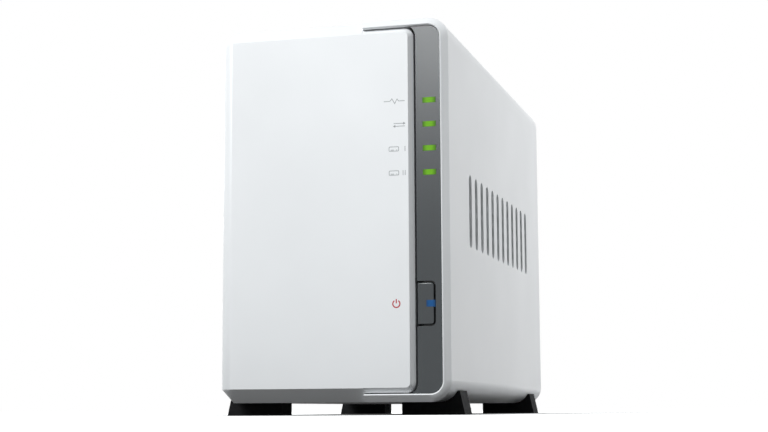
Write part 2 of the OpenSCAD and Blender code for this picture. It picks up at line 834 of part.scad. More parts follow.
module drive_cage() color("silver") {
  z0 = drive_z0 - cage_gap - cage_t;
  z1 = drive_z1 + cage_gap + cage_t;
  difference() {
    union() {
      block(cage_x0, cage_x1, cage_y0, drive_y1 + 1, z0, z1);
      block(cage_left, cage_x1, cage_y0, drive_y1 + 1, z0, z0 + cage_t);
      block(cage_left, cage_x1, cage_y0, drive_y1 + 1, z1 - cage_t, z1);
    }
    for (p = cage_posts) rod_x(p[0], p[1], cage_x0 - over, cage_x1 + over, hole_d);
    for (y = drive_hole_ys, x1 = [drive_1_x1, drive_2_x1])
      translate([x1 - drive_hole_x, y, z0 - over]) cylinder(d = drive_screw_d + 0.4, h = z1 - z0 + 2 * over);
    // air slots between the posts
    for (i = [0 : 3]) translate([0, drive_y0 + (i + 0.85) * air_pitch, drive_zc])
      block(cage_x0 - over, cage_x1 + over, 0, air_w, -air_h / 2, air_h / 2);
  }
}

module cage_screws() color("silver")
  for (p = cage_posts) translate([cage_x0, p[0], p[1]]) to_left() screw(8, screw_d, head_d, head_h);

// The disks' round pocket and the arm's room behind it, in (y, z)
module drive_pocket_outline() {
  translate([disk_cy, drive_zc]) circle(disk_r + disk_room);
  translate([disk_cy, drive_zc - disk_r + pocket_wall])
    square([drive_y1 - pocket_wall - disk_cy, 2 * disk_r - pocket_wall]);
}

module drive_base(x1) color("gray") {
  x0 = x1 - drive_t;
  difference() {
    block(x0 + drive_lid_t, x1, drive_y0, drive_y1, drive_z0, drive_z1);
    along_x(x0 + drive_lid_t - over, x0 + disk_pocket) drive_pocket_outline();
    // room for the board and its plug on the other side
    block(x1 - drive_board_room, x1 + over, drive_y0 + drive_board_front, drive_y1 + over,
      drive_z0 + drive_board_edge, drive_z1 - drive_board_edge);
    block(x1 - connector_t, x1 + over, drive_y1 - connector_l - over, drive_y1 + over,
      connector_z0, connector_z0 + connector_h);
    // tapped holes in both long edges
    for (y = drive_hole_ys) translate([x1 - drive_hole_x, y, drive_z0 - over]) {
      cylinder(d = drive_screw_d + 2 * snug, h = drive_hole_depth + over);
      translate([0, 0, drive_w - drive_hole_depth + over])
        cylinder(d = drive_screw_d + 2 * snug, h = drive_hole_depth + over);
    }
  }
  // spindle and pivot pins
  rod_x(disk_cy, drive_zc, x0 + 2.6, x0 + disk_pocket + over, 2 * pin_r);
  rod_x(pivot_y, pivot_z, x0 + 2.6, x0 + disk_pocket + over, 2 * pin_r);
}

module drive_lid(x1) color("silver") {
  x0 = x1 - drive_t;
  difference() {
    block(x0, x0 + drive_lid_t, drive_y0 + 0.5, drive_y1 - 0.5, drive_z0 + 0.5, drive_z1 - 0.5);
    rod_x(disk_cy, drive_zc, x0 - over, x0 + 0.3, 30);
  }
}

module drive_board(x1) color("darkgreen") {
  board_x = x1 - drive_board_room + 2 * snug;
  block(board_x, board_x + pcb_t, drive_y0 + drive_board_front + 1, drive_y1 - connector_l - 2,
    drive_z0 + drive_board_edge + 1, drive_z1 - drive_board_edge - 1);
}

// The drive's own connector, open to the back
module drive_connector(x1) color("black") {
  difference() {
    block(x1 - connector_t + 0.4, x1 - 0.6, drive_y1 - connector_l - 0.6, drive_y1,
      connector_z0 + 1, connector_z0 + connector_h - 1);
    block(x1 - connector_t + 2, x1 - connector_t + 5, drive_y1 - tongue_l - 1, drive_y1 + over,
      connector_z0 + 3, connector_z0 + connector_h - 3);
  }
}

module drive_disks(x1) color("silver") {
  x0 = x1 - drive_t;
  difference() {
    union() {
      rod_x(disk_cy, drive_zc, x0 + hub_x, x0 + disk_pocket - 1, 2 * hub_r);
      for (d = disk_offsets) rod_x(disk_cy, drive_zc, x0 + d, x0 + d + disk_t, 2 * disk_r);
    }
    rod_x(disk_cy, drive_zc, x0, x1, 2 * (pin_r + shaft_fit));
  }
}

module drive_arm(x1) color("silver") {
  x0 = x1 - drive_t;
  // parked over the disks' outer edge
  tip = [pivot_y, pivot_z] + [cos(arm_angle), sin(arm_angle)] * arm_l;
  coil_x = x0 + disk_offsets[0] + disk_t / 2;
  difference() {
    union() {
      rod_x(pivot_y, pivot_z, x0 + arm_offsets[0] - 0.3, x0 + arm_offsets[2] + arm_t + 0.4, arm_hub_d);
      for (d = arm_offsets) along_x(x0 + d, x0 + d + arm_t) polygon([
        [pivot_y, pivot_z + arm_root], [pivot_y, pivot_z - arm_root],
        tip - [0, arm_tip], tip + [0, arm_tip]
      ]);
      // the coil behind the pivot
      along_x(coil_x + 0.75, coil_x + 0.75 + coil_t) polygon([
        [pivot_y, pivot_z - coil_w * 0.3], [pivot_y, pivot_z + coil_w * 0.25],
        [pivot_y + coil_l * 0.9, pivot_z + coil_w * 0.12], [pivot_y + coil_l, pivot_z - coil_w * 0.88],
        [pivot_y + coil_l / 2, pivot_z - coil_w]
      ]);
    }
    rod_x(pivot_y, pivot_z, x0, x1, 2 * (pin_r + shaft_fit));
  }
}

module drive_screws() color("silver")
  for (y = drive_hole_ys, x1 = [drive_1_x1, drive_2_x1], side = [0, 1])
    translate([x1 - drive_hole_x, y, side * 2 * drive_zc]) mirror([0, 0, side])
    translate([0, 0, drive_z0 - cage_gap - cage_t]) mirror([0, 0, 1])
    screw(drive_screw_l, drive_screw_d, drive_head_d, head_h);

module sata_riser() color("darkgreen")
  block(drive_1_x1 - drive_t, board_x0 - slot_h + slot_depth, riser_y0, riser_y1, riser_z0, riser_z1);

module riser_drive_sockets() color("black") {
  for (x1 = [drive_1_x1, drive_2_x1]) {
    tongue_x = x1 - connector_t + 2.9;
    block(x1 - connector_t - 0.2, x1, drive_y1, riser_y0, connector_z0, connector_z0 + connector_h);
    block(tongue_x, tongue_x + tongue_t, drive_y1 - tongue_l, drive_y1 + 0.5,
      connector_z0 + 4, connector_z0 + connector_h - 4);
  }
}

module riser_slot() color("black") {
  difference() {
    block(board_x0 - slot_h, board_x0, riser_y0 - slot_wall, riser_y1 + slot_wall,
      riser_z0 - slot_wall - 1, riser_z1 + slot_wall + 1);
    block(board_x0 - slot_h - over, board_x0 - slot_h + slot_depth + 2 * snug, riser_y0 - snug, riser_y1 + snug,
      riser_z0 - 2 * snug, riser_z1 + 2 * snug);
  }
}

// ---- the mainboard ----

module mainboard() color("darkgreen") {
  difference() {
    union() {
      block(board_x0, board_x1, board_y0, board_y1, board_z0, board_z1);
      block(board_x0, board_x1, board_y1 - over, tab_y1, board_z0, board_z0 + port_tab_h);
    }
    for (p = mainboard_holes) rod_x(p[0], p[1], board_x0 - over, board_x1 + over, board_hole_d);
  }
}

module mainboard_screws() color("silver")
  for (p = mainboard_holes) translate([board_x0, p[0], p[1]]) to_left() screw(6.5, screw_d, head_d, head_h);

// A box that stands on the mainboard's face, by its middle and its size along Y and Z
module on_board(y, z, ly, lz, h)
  block(board_x0 - h, board_x0, y - ly / 2, y + ly / 2, z - lz / 2, z + lz / 2);

module processor() color("black") on_board(chip_y, chip_z, chip_w, chip_w, chip_t);

module heat_sink() color("silver") {
  x1 = board_x0 - chip_t;
  y0 = chip_y - sink_w / 2;
  z0 = chip_z - sink_w / 2;
  step = (sink_w - fin_t) / (fin_count - 1);
  block(x1 - sink_base, x1, y0, y0 + sink_w, z0, z0 + sink_w);
  for (i = [0 : fin_count - 1])
    block(x1 - sink_h, x1 - sink_base / 2, y0 + i * step, y0 + i * step + fin_t, z0, z0 + sink_w);
}

module memory_chips() color("black")
  for (i = [0, 1], j = [-1, 1])
    on_board(chip_y + sink_w / 2 + 10 + i * memory_pitch, chip_z + j * memory_h * 0.6,
      memory_w, memory_h, memory_t);

module capacitors() color("black")
  for (i = [0 : 5])
    rod_x(board_y0 + 17 + i * capacitor_pitch, board_z0 + 8, board_x0 - capacitor_h, board_x0, capacitor_d);

module inductors() color("dimgray")
  for (i = [0 : 3]) on_board(board_y1 - board_rear_hole - 8.5 - i * inductor_pitch, board_z0 + 9,
    inductor_w, inductor_w, inductor_h);

module coin_cell() color("silver")
  rod_x(cell_y, cell_z, board_x0 - cell_base - cell_t, board_x0 - cell_base, cell_d);

module coin_cell_holder() color("black") {
  difference() {
    on_board(cell_y, cell_z, cell_holder_w, cell_holder_w, cell_base + cell_t * 0.8);
    rod_x(cell_y, cell_z, board_x0 - cell_base - cell_t - over, board_x0 - cell_base, cell_d + 4 * snug);
  }
}

module buzzer() color("black") {
  difference() {
    rod_x(chip_y + 36, board_z1 - 14, board_x0 - buzzer_h, board_x0, buzzer_d);
    rod_x(chip_y + 36, board_z1 - 14, board_x0 - buzzer_h - over, board_x0 - buzzer_h + over, buzzer_d / 6);
  }
}

module fan_header() color("ivory")
  block(board_x0 - header_h, board_x0, plug_y0 - header_l, plug_y0,
    plug_z - header_w / 2, plug_z + header_w / 2);

module fan_plug() color("black")
  block(cable_x - plug_t / 2, cable_x + plug_t / 2, plug_y0, plug_y0 + plug_l,
    plug_z - plug_w / 2, plug_z + plug_w / 2);

// ---- the rear sockets ----

module lan_port() color("silver") {
  x0 = board_x0 - lan_h;
  zc = lan_z0 + lan_w / 2;
  mouth_x0 = x0 + 2;
  difference() {
    block(x0, board_x0, port_y1 - lan_l, port_y1, lan_z0, lan_z0 + lan_w);
    block(mouth_x0, mouth_x0 + lan_mouth_h, port_y1 - lan_depth, port_y1 + over,
      zc - lan_mouth_w / 2, zc + lan_mouth_w / 2);
    block(mouth_x0 + lan_mouth_h - 1, mouth_x0 + lan_mouth_h + 1.8, port_y1 - lan_depth * 0.7, port_y1 + over,
      zc - lan_mouth_w / 4, zc + lan_mouth_w / 4);
  }
}

module usb_ports() color("dodgerblue") {
  x0 = board_x0 - usb_h;
  difference() {
    block(x0, board_x0, port_y1 - usb_l, port_y1, usb_z0, usb_z0 + usb_w);
    for (x = [x0 + 1, x0 + 1 + usb_h / 2]) difference() {
      block(x, x + usb_mouth_h, port_y1 - usb_depth, port_y1 + over, usb_z0 + 0.4, usb_z0 + usb_w - 0.4);
      block(x + usb_mouth_h - 0.6 - usb_tongue_t, x + usb_mouth_h - 0.6,
        port_y1 - usb_depth - over, port_y1 - 1, usb_z0 + 1.2, usb_z0 + usb_w - 1.2);
    }
  }
}

module power_inlet() color("black") {
  difference() {
    block(board_x0 - inlet_h, board_x0, port_y1 - inlet_l, port_y1,
      inlet_z - inlet_w / 2, inlet_z + inlet_w / 2);
    rod_y(inlet_x, inlet_z, port_y1 - inlet_depth, port_y1 + over, inlet_bore_d);
  }
  rod_y(inlet_x, inlet_z, port_y1 - inlet_depth - over, port_y1 - 1, inlet_pin_d);
}

module reset_switch_body() color("black") {
  difference() {
    block(reset_x - 2, board_x0, reset_switch_y1 - 5, reset_switch_y1, reset_z - 1.8, reset_z + 1.8);
    rod_y(reset_x, reset_z, reset_switch_y1 - 3, reset_switch_y1 + over, reset_d + 2 * snug);
  }
}

module reset_button() color("ivory")
  rod_y(reset_x, reset_z, reset_switch_y1 - 2.8 + reset_travel, plate_y0 - 0.3, reset_d);

// ---- the fan ----

module fan_holes(d, y0, y1)
  for (sx = [-1, 1], sz = [-1, 1]) rod_y(sx * fan_pitch / 2, fan_z + sz * fan_pitch / 2, y0, y1, d);

module fan_frame() color("black") {
  hub_d = rotor_cup_d - 2;
  difference() {
    union() {
      difference() {
        bar(-fan_size / 2, fan_size / 2, fan_z - fan_size / 2, fan_z + fan_size / 2, 5, fan_y0, plate_y0);
        rod_y(0, fan_z, fan_y0 - over, plate_y0 + over, fan_ring_d);
        // waist between the two flanges
        for (a = [0, 90, 180, 270]) translate([0, 0, fan_z]) rotate([0, a, 0])
          block(-fan_size, fan_size, fan_y0 + 4, plate_y0 - 4, fan_ring_d / 2 + 1.2, fan_size);
      }
      // struts and the motor's plate
      for (a = [45, 135, 225, 315]) translate([0, 0, fan_z]) rotate([0, a, 0])
        block(-1.5, 1.5, fan_hub_y0, plate_y0, hub_d / 2 - 1, fan_ring_d / 2 + 0.5);
      rod_y(0, fan_z, fan_hub_y0, plate_y0, hub_d);
      // sleeve that carries the bearing
      rod_y(0, fan_z, fan_y0 + 5, fan_hub_y0 + 1, bearing_d + 2);
    }
    rod_y(0, fan_z, fan_y0 + 4, plate_y0 - 2, bearing_d + 2 * snug);
    fan_holes(hole_d, fan_y0 - over, plate_y0 + over);
  }
}

module fan_bearing() color("goldenrod") difference() {
  rod_y(0, fan_z, fan_y0 + 6, plate_y0 - 2.5, bearing_d);
  rod_y(0, fan_z, fan_y0 + 5, plate_y0, shaft_d + 2 * shaft_fit);
}

module fan_stator() color("peru") {
  difference() {
    union() {
      for (i = [0 : 3]) translate([0, 0, fan_z]) rotate([0, i * 45, 0])
        block(-13, 13, fan_y0 + 9, fan_y0 + 15, -1.6, 1.6);
      rod_y(0, fan_z, fan_y0 + 9, fan_y0 + 15, 15);
    }
    rod_y(0, fan_z, fan_y0 + 8, fan_y0 + 16, bearing_d + 2 + 2 * snug);
  }
}

module fan_rotor() color("black") {
  cup_y0 = fan_y0 + 1.5;
  cup_y1 = fan_hub_y0 - 0.6;
  blade_l = cup_y1 - cup_y0 - 1;
  difference() {
    union() {
      rod_y(0, fan_z, cup_y0, cup_y1, rotor_cup_d);
      intersection() {
        difference() {
          rod_y(0, fan_z, cup_y0, cup_y1, rotor_d);
          rod_y(0, fan_z, cup_y0 - over, cup_y1 + over, rotor_cup_d - 1);
        }
        for (i = [0 : blade_count - 1])
          translate([0, (cup_y0 + cup_y1) / 2, fan_z]) rotate([0, i * 360 / blade_count, 0])
          translate([0, 0, 0]) rotate([0, 0, 38]) block(-0.8, 0.8, -blade_l, blade_l, 0, rotor_d);
      }
    }
    rod_y(0, fan_z, cup_y0 + 2, cup_y1 + over, rotor_cup_d - 4);
  }
  rod_y(0, fan_z, cup_y0 + 1, plate_y0 - 3, shaft_d);
}

module fan_screws() color("silver") for (sx = [-1, 1], sz = [-1, 1])
  translate([sx * fan_pitch / 2, plate_y1, fan_z + sz * fan_pitch / 2])
    to_back() screw(8, screw_d, head_d, head_h);

module fan_cable() color("black") {
  translate([cable_x, cable_y, plug_z + cable_bend]) cylinder(d = cable_d, h = fan_z0 - plug_z - cable_bend);
  translate([cable_x, cable_y - cable_bend, plug_z + cable_bend]) rotate([90, 0, 90]) rotate(-90)
    rotate_extrude(angle = 90) translate([cable_bend, 0]) circle(d = cable_d);
  rod_y(cable_x, plug_z, plug_y0 + plug_l, cable_y - cable_bend, cable_d);
}

// ---- the rear ----

// Ring slots of the fan grille, with four spokes left standing
module grille_outline() {
  translate([0, fan_z]) difference() {
    for (r = [12 : ring_pitch : fan_ring_d / 2 - ring_slot]) difference() {
      circle(r + ring_slot / 2);
      circle(r - ring_slot / 2);
    }
    for (a = [45, 135]) rotate(a) square([fan_size + 20, 5], center = true);
  }
}

module rear_plate() color("lightgray") {
  edge = plate_gap;
  difference() {
    along_y(plate_y0, plate_y1) difference() {
      intersection() {
        rounded(-in_x + edge, in_x - edge, z_floor + edge, z_top - edge, corner_r - wall - edge);
        slope_outline(-half_w, half_w, wall + edge);
      }
      grille_outline();
      // sockets
      for (p = [[lan_h, lan_z0, lan_w], [usb_h, usb_z0, usb_w], [inlet_h, inlet_z - inlet_w / 2, inlet_w]])
        translate([board_x0 - p[0] - plate_gap, p[1] - plate_gap])
          square([p[0] + 2 * plate_gap, p[2] + 2 * plate_gap]);
      translate([reset_x, reset_z]) circle(d = reset_d + 0.8);
      // lock slot
      rounded(lock_x - lock_w / 2, lock_x + lock_w / 2, lock_z0, lock_z0 + lock_h, 0.6);
    }
    for (s = [-1, 1], z = boss_zs) rod_y(s * boss_x, z, plate_y0 - over, plate_y1 + over, hole_d);
    fan_holes(hole_d, plate_y0 - over, plate_y1 + over);
  }
}

module rear_screws() color("silver") for (s = [-1, 1], z = boss_zs)
  translate([s * boss_x, plate_y1, z]) to_back() screw(9, screw_d, head_d, head_h);

// ---- the feet ----

// A foot on the right, from y0: flat sole, upright inner end and sloping outer end, to be cut to the body
module foot(y0, w)
  along_y(y0, y0 + foot_l) polygon([
    [half_w + foot_flare - w, 0], [half_w + foot_flare, 0],
    [half_w, foot_h + foot_climb], [half_w - 4, foot_h + foot_climb],
    [half_w + foot_flare - w, foot_h + 0.5]
  ]);

module right_foot(y0) color("black") difference() {
  foot(y0, foot_w);
  along_y(y0 - over, y0 + foot_l + over) rounded(-half_w, half_w, foot_h, body_h, corner_r);
}

module left_foot(y0) color("black") difference() {
  mirror([1, 0, 0]) foot(y0, left_foot_w);
  along_y(y0 - over, y0 + foot_l + over) slope_outline(-half_w, half_w, 0);
}

foot_ys = [y_front + foot_front, y_back - foot_rear - foot_l];

module foot_front_right() right_foot(foot_ys[0]);
module foot_rear_right() right_foot(foot_ys[1]);
module foot_front_left() left_foot(foot_ys[0]);
module foot_rear_left() left_foot(foot_ys[1]);

// ---- the nodes ----

left_cover();
right_shell();
front_bezel();
power_button();
power_button_lens();
light_guide();
front_board();
front_leds();
power_switch_body();
power_switch_plunger();
front_board_screws();
front_cable();
front_cable_sockets();
drive_cage();
cage_screws();
drive_base(drive_1_x1);  // drive_1_base
drive_lid(drive_1_x1);  // drive_1_lid
drive_board(drive_1_x1);  // drive_1_board
drive_connector(drive_1_x1);  // drive_1_connector
drive_disks(drive_1_x1);  // drive_1_disks
drive_arm(drive_1_x1);  // drive_1_arm
drive_base(drive_2_x1);  // drive_2_base
drive_lid(drive_2_x1);  // drive_2_lid
drive_board(drive_2_x1);  // drive_2_board
drive_connector(drive_2_x1);  // drive_2_connector
drive_disks(drive_2_x1);  // drive_2_disks
drive_arm(drive_2_x1);  // drive_2_arm
drive_screws();
sata_riser();
riser_drive_sockets();
riser_slot();
mainboard();
mainboard_screws();
processor();
heat_sink();
memory_chips();
capacitors();
inductors();
coin_cell();
coin_cell_holder();
buzzer();
fan_header();
fan_plug();
fan_cable();
lan_port();
usb_ports();
power_inlet();
reset_switch_body();
reset_button();
fan_frame();
fan_rotor();
fan_stator();
fan_bearing();
fan_screws();
rear_plate();
rear_screws();
foot_front_left();
foot_rear_left();
foot_front_right();
foot_rear_right();
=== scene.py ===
"""A two-bay network attached storage box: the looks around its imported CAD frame.

Lengths are in millimetres unless a name says otherwise; MM turns them into metres.
+X is to the right, +Y to the back and +Z up, as in the frame.
"""

import json
import math
import random

import bmesh
import bpy
from mathutils import Matrix, Vector


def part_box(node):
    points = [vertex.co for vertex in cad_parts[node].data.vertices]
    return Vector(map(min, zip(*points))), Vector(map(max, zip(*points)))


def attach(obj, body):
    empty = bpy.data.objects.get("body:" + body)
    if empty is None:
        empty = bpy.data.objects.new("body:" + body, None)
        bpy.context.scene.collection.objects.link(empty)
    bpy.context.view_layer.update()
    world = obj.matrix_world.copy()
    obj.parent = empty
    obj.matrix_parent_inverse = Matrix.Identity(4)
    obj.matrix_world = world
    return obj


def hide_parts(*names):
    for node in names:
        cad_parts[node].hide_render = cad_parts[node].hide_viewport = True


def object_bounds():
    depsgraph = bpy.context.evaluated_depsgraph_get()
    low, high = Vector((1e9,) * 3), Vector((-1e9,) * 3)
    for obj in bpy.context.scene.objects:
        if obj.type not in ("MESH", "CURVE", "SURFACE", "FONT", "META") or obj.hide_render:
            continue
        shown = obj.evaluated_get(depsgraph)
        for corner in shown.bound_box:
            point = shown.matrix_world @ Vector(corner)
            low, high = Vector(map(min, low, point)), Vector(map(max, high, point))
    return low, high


MM = 0.001
SEED = 7
# a piece's or node's edge sharper than this, in degrees, stays a crease
CREASE = 35

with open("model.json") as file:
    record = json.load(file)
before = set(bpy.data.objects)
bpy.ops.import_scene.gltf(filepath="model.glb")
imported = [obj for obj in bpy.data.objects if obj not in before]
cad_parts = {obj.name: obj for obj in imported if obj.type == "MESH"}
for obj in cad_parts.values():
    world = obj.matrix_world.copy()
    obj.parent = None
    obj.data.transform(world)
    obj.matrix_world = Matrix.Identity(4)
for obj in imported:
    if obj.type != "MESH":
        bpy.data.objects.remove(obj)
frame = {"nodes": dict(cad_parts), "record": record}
nodes = frame["nodes"]
cad_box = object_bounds()


def box_mm(node):
    """A CAD node's lowest and highest corners, in millimetres."""
    low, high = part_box(node)
    return low / MM, high / MM


def middle(low, high, axis):
    """The middle of a box along x, y or z."""
    return (getattr(low, axis) + getattr(high, axis)) / 2


# ---- materials ----


class Finish:
    """A material built from one principled shader, with helpers that add its detail."""

    def __init__(self, name, colour, roughness, metallic=0.0, specular=0.5):
        self.made = bpy.data.materials.new(name)
        self.made.use_nodes = True
        self.tree = self.made.node_tree
        self.bsdf = self.tree.nodes["Principled BSDF"]
        self.set("Base Color", (*colour, 1))
        self.set("Roughness", roughness)
        self.set("Metallic", metallic)
        self.set("Specular IOR Level", specular)
        self.colour = colour

    def set(self, socket, value):
        """Sets one of the shader's own sockets."""
        self.bsdf.inputs[socket].default_value = value

    def node(self, kind, **inputs):
        """A new node, with values set on its inputs by name."""
        made = self.tree.nodes.new(kind)
        for key, value in inputs.items():
            made.inputs[key.replace("_", " ")].default_value = value
        return made

    def link(self, source, target):
        self.tree.links.new(source, target)

    def place(self, stretch=(1, 1, 1)):
        """The point's own coordinates in the frame, stretched."""
        coordinates = self.node("ShaderNodeTexCoord")
        mapping = self.node("ShaderNodeMapping", Scale=stretch)
        self.link(coordinates.outputs["Object"], mapping.inputs["Vector"])
        return mapping.outputs["Vector"]

    def noise(self, grain_mm, detail=3.0, stretch=(1, 1, 1)):
        """Noise whose grain has that size."""
        made = self.node("ShaderNodeTexNoise", Scale=1 / (grain_mm * MM), Detail=detail)
        self.link(self.place(stretch), made.inputs["Vector"])
        return made.outputs["Fac"]

    def split_place(self):
        """The X, Y and Z of the point, as outputs."""
        split = self.node("ShaderNodeSeparateXYZ")
        self.link(self.place(), split.inputs[0])
        return split.outputs

    def cells(self, size_mm, output="Distance", distance="EUCLIDEAN"):
        """Cells of that size: the distance to each one's middle, or its colour."""
        made = self.node("ShaderNodeTexVoronoi", Scale=1 / (size_mm * MM))
        made.distance = distance
        self.link(self.place(), made.inputs["Vector"])
        return made.outputs[output]

    def ramp(self, source, low, high, to_low=0.0, to_high=1.0):
        """The source, taken from one range to another and clamped."""
        made = self.node("ShaderNodeMapRange")
        for socket, value in zip(("From Min", "From Max", "To Min", "To Max"), (low, high, to_low, to_high)):
            made.inputs[socket].default_value = value
        self.link(source, made.inputs["Value"])
        return made.outputs["Result"]

    def math(self, operation, first, second):
        """Two outputs or numbers, put together."""
        made = self.node("ShaderNodeMath")
        made.operation = operation
        for socket, value in zip(made.inputs, (first, second)):
            if isinstance(value, (int, float)):
                socket.default_value = value
            else:
                self.link(value, socket)
        return made.outputs[0]

    def blend(self, factor, first, second):
        """One colour or the other, or between; each is a colour or an output."""
        made = self.node("ShaderNodeMix")
        made.data_type = "RGBA"
        self.link(factor, made.inputs["Factor"])
        for socket, value in (("A", first), ("B", second)):
            target = next(s for s in made.inputs if s.name == socket and s.type == "RGBA")
            if isinstance(value, tuple):
                target.default_value = (*value, 1)
            else:
                self.link(value, target)
        return next(s for s in made.outputs if s.type == "RGBA")

    def paint(self, source):
        """Takes the base colour from an output."""
        self.link(source, self.bsdf.inputs["Base Color"])
        return self

    def clouds(self, grain_mm, stretch=(1, 1, 1), low=0.0, high=1.0):
        """Soft noise, spread from one value to another."""
        return self.ramp(self.noise(grain_mm, 2, stretch), 0.3, 0.7, low, high)

    def vary(self, grain_mm, amount, stretch=(1, 1, 1)):
        """Slow variation of the colour, by that share either way."""
        dark = tuple(c * (1 - amount) for c in self.colour)
        light = tuple(min(1.0, c * (1 + amount)) for c in self.colour)
        return self.paint(self.blend(self.clouds(grain_mm, stretch), dark, light))

    def gloss(self, grain_mm, low, high, stretch=(1, 1, 1)):
        """Roughness that varies between two values."""
        self.link(self.clouds(grain_mm, stretch, low, high), self.bsdf.inputs["Roughness"])
        return self

    def bump(self, source, height_mm, strength=1.0):
        """Relief of that height."""
        made = self.node("ShaderNodeBump", Strength=strength, Distance=height_mm * MM)
        self.link(source, made.inputs["Height"])
        self.link(made.outputs["Normal"], self.bsdf.inputs["Normal"])
        return self

    def grain(self, grain_mm, height_mm, strength=1.0, stretch=(1, 1, 1), detail=3.0):
        """A fine moulded or brushed surface."""
        return self.bump(self.noise(grain_mm, detail, stretch), height_mm, strength)


def moulded(name, colour, roughness, grain_mm=0.35, height_mm=0.01, specular=0.5, vary=0.02, rub=0.03):
    """Moulded plastic: even, with a fine eroded texture, and a little smoother where it is rubbed."""
    made = Finish(name, colour, roughness, specular=specular)
    made.vary(45, vary).gloss(30, roughness - rub, roughness + rub).grain(grain_mm, height_mm, 0.5)
    return made.made


def glowing(name, body_colour, light, strength, half_width, centre_x):
    """A tinted window lit from behind, brightest at its middle."""
    made = Finish(name, body_colour, 0.4, specular=0.15)
    made.set("Emission Color", (*light, 1))
    made.vary(0.6, 0.15).grain(0.5, 0.01, 0.3)
    off = made.math("ABSOLUTE", made.math("SUBTRACT", made.split_place()["X"], centre_x * MM), 0)
    made.link(made.ramp(off, half_width * 0.35 * MM, half_width * MM, strength, strength * 0.12),
              made.bsdf.inputs["Emission Strength"])
    return made.made


def brushed(name, colour, roughness, along, grain_mm=0.6):
    """Rolled or brushed metal, with fine lines along one axis."""
    stretch = tuple(0.03 if axis == along else 1.0 for axis in "xyz")
    made = Finish(name, colour, roughness, metallic=1.0)
    made.vary(25, 0.06).gloss(grain_mm, roughness - 0.08, roughness + 0.08, stretch)
    made.grain(grain_mm * 0.4, 0.006, 0.5, stretch)
    return made.made


def zinc(name):
    """Galvanised sheet: pale spangle crystals, each a little different."""
    made = Finish(name, (0.43, 0.44, 0.45), 0.42, metallic=1.0)
    tone = made.cells(3.5, "Color")
    split = made.node("ShaderNodeSeparateColor")
    made.link(tone, split.inputs[0])
    made.paint(made.blend(split.outputs["Red"], (0.40, 0.41, 0.42), (0.45, 0.46, 0.47)))
    made.link(made.ramp(split.outputs["Green"], 0, 1, 0.34, 0.5), made.bsdf.inputs["Roughness"])
    made.grain(0.8, 0.01, 0.35)
    return made.made


def cast(name):
    """Sand-grey die casting, coarse to the touch."""
    made = Finish(name, (0.36, 0.365, 0.37), 0.5, metallic=1.0)
    made.vary(9, 0.1).gloss(3, 0.42, 0.6).grain(0.5, 0.03, 0.7)
    return made.made


def board_green(name):
    """Solder mask over copper tracks, in patches that run one way or the other, with tinned holes."""
    made = Finish(name, (0.012, 0.07, 0.035), 0.32, specular=0.5)
    place = made.split_place()
    track_pitch = 0.9 * MM
    lines = {}
    for axis in ("Y", "Z"):
        turns = made.math("MULTIPLY", place[axis], 1 / track_pitch)
        lines[axis] = made.ramp(made.math("PINGPONG", turns, 0.5), 0.24, 0.3)
    patch = made.node("ShaderNodeSeparateColor")
    made.link(made.cells(13, "Color", distance="MANHATTAN"), patch.inputs[0])
    way = made.ramp(patch.outputs["Red"], 0.5, 0.501)
    across = made.node("ShaderNodeMix")
    made.link(way, across.inputs["Factor"])
    made.link(lines["Y"], across.inputs["A"])
    made.link(lines["Z"], across.inputs["B"])
    present = made.ramp(patch.outputs["Green"], 0.35, 0.351)
    track = made.math("MULTIPLY", across.outputs[0], present)
    mask = made.blend(track, (0.010, 0.055, 0.028), (0.022, 0.115, 0.052))
    hole = made.ramp(made.cells(2.6), 0.16, 0.13)
    some = made.math("MULTIPLY", hole, made.ramp(made.noise(9), 0.52, 0.53))
    made.paint(made.blend(some, mask, (0.62, 0.60, 0.52)))
    made.link(some, made.bsdf.inputs["Metallic"])
    made.link(made.ramp(made.noise(4), 0.3, 0.7, 0.28, 0.38), made.bsdf.inputs["Roughness"])
    made.bump(track, 0.035, 0.7)
    return made.made


def plated(name, colour=(0.66, 0.655, 0.63)):
    """Bright plating: nickel, unless another colour is given."""
    made = Finish(name, colour, 0.26, metallic=1.0)
    made.vary(2, 0.08).gloss(1.2, 0.2, 0.34).grain(0.4, 0.008, 0.5)
    return made.made


def mirror(name):
    """A disk's polished face."""
    made = Finish(name, (0.86, 0.86, 0.87), 0.05, metallic=1.0)
    made.vary(30, 0.015).gloss(20, 0.04, 0.07)
    return made.made


def anodised(name):
    """Black anodised aluminium, drawn along y."""
    made = Finish(name, (0.13, 0.135, 0.14), 0.42, metallic=0.9)
    made.vary(8, 0.12).gloss(1, 0.36, 0.5, (1, 0.05, 1)).grain(0.3, 0.01, 0.5, (1, 0.05, 1))
    return made.made


def windings(name):
    """Enamelled copper wire, wound round the fan's axis."""
    made = Finish(name, (0.72, 0.28, 0.12), 0.3, metallic=1.0)
    lines = made.math("PINGPONG", made.noise(1.4, 1), 0.08)
    made.vary(1.5, 0.25).gloss(1, 0.22, 0.4).bump(lines, 0.3, 0.7)
    return made.made


def ribbon(name):
    """A flat cable: white film with the conductors showing through as faint lines."""
    made = Finish(name, (0.78, 0.78, 0.76), 0.35)
    conductor_pitch = 1.0 * MM
    turns = made.math("MULTIPLY", made.split_place()["Z"], 1 / conductor_pitch)
    lines = made.ramp(made.math("PINGPONG", turns, 0.5), 0.2, 0.3)
    made.paint(made.blend(lines, (0.80, 0.80, 0.78), (0.60, 0.60, 0.58)))
    made.gloss(3, 0.3, 0.4).bump(lines, 0.05, 0.6)
    return made.made


def sintered(name):
    """The fan's oil-filled bronze bush."""
    made = Finish(name, (0.42, 0.27, 0.14), 0.55, metallic=1.0)
    made.vary(0.8, 0.25).gloss(0.8, 0.45, 0.65).grain(0.25, 0.03, 0.8)
    return made.made


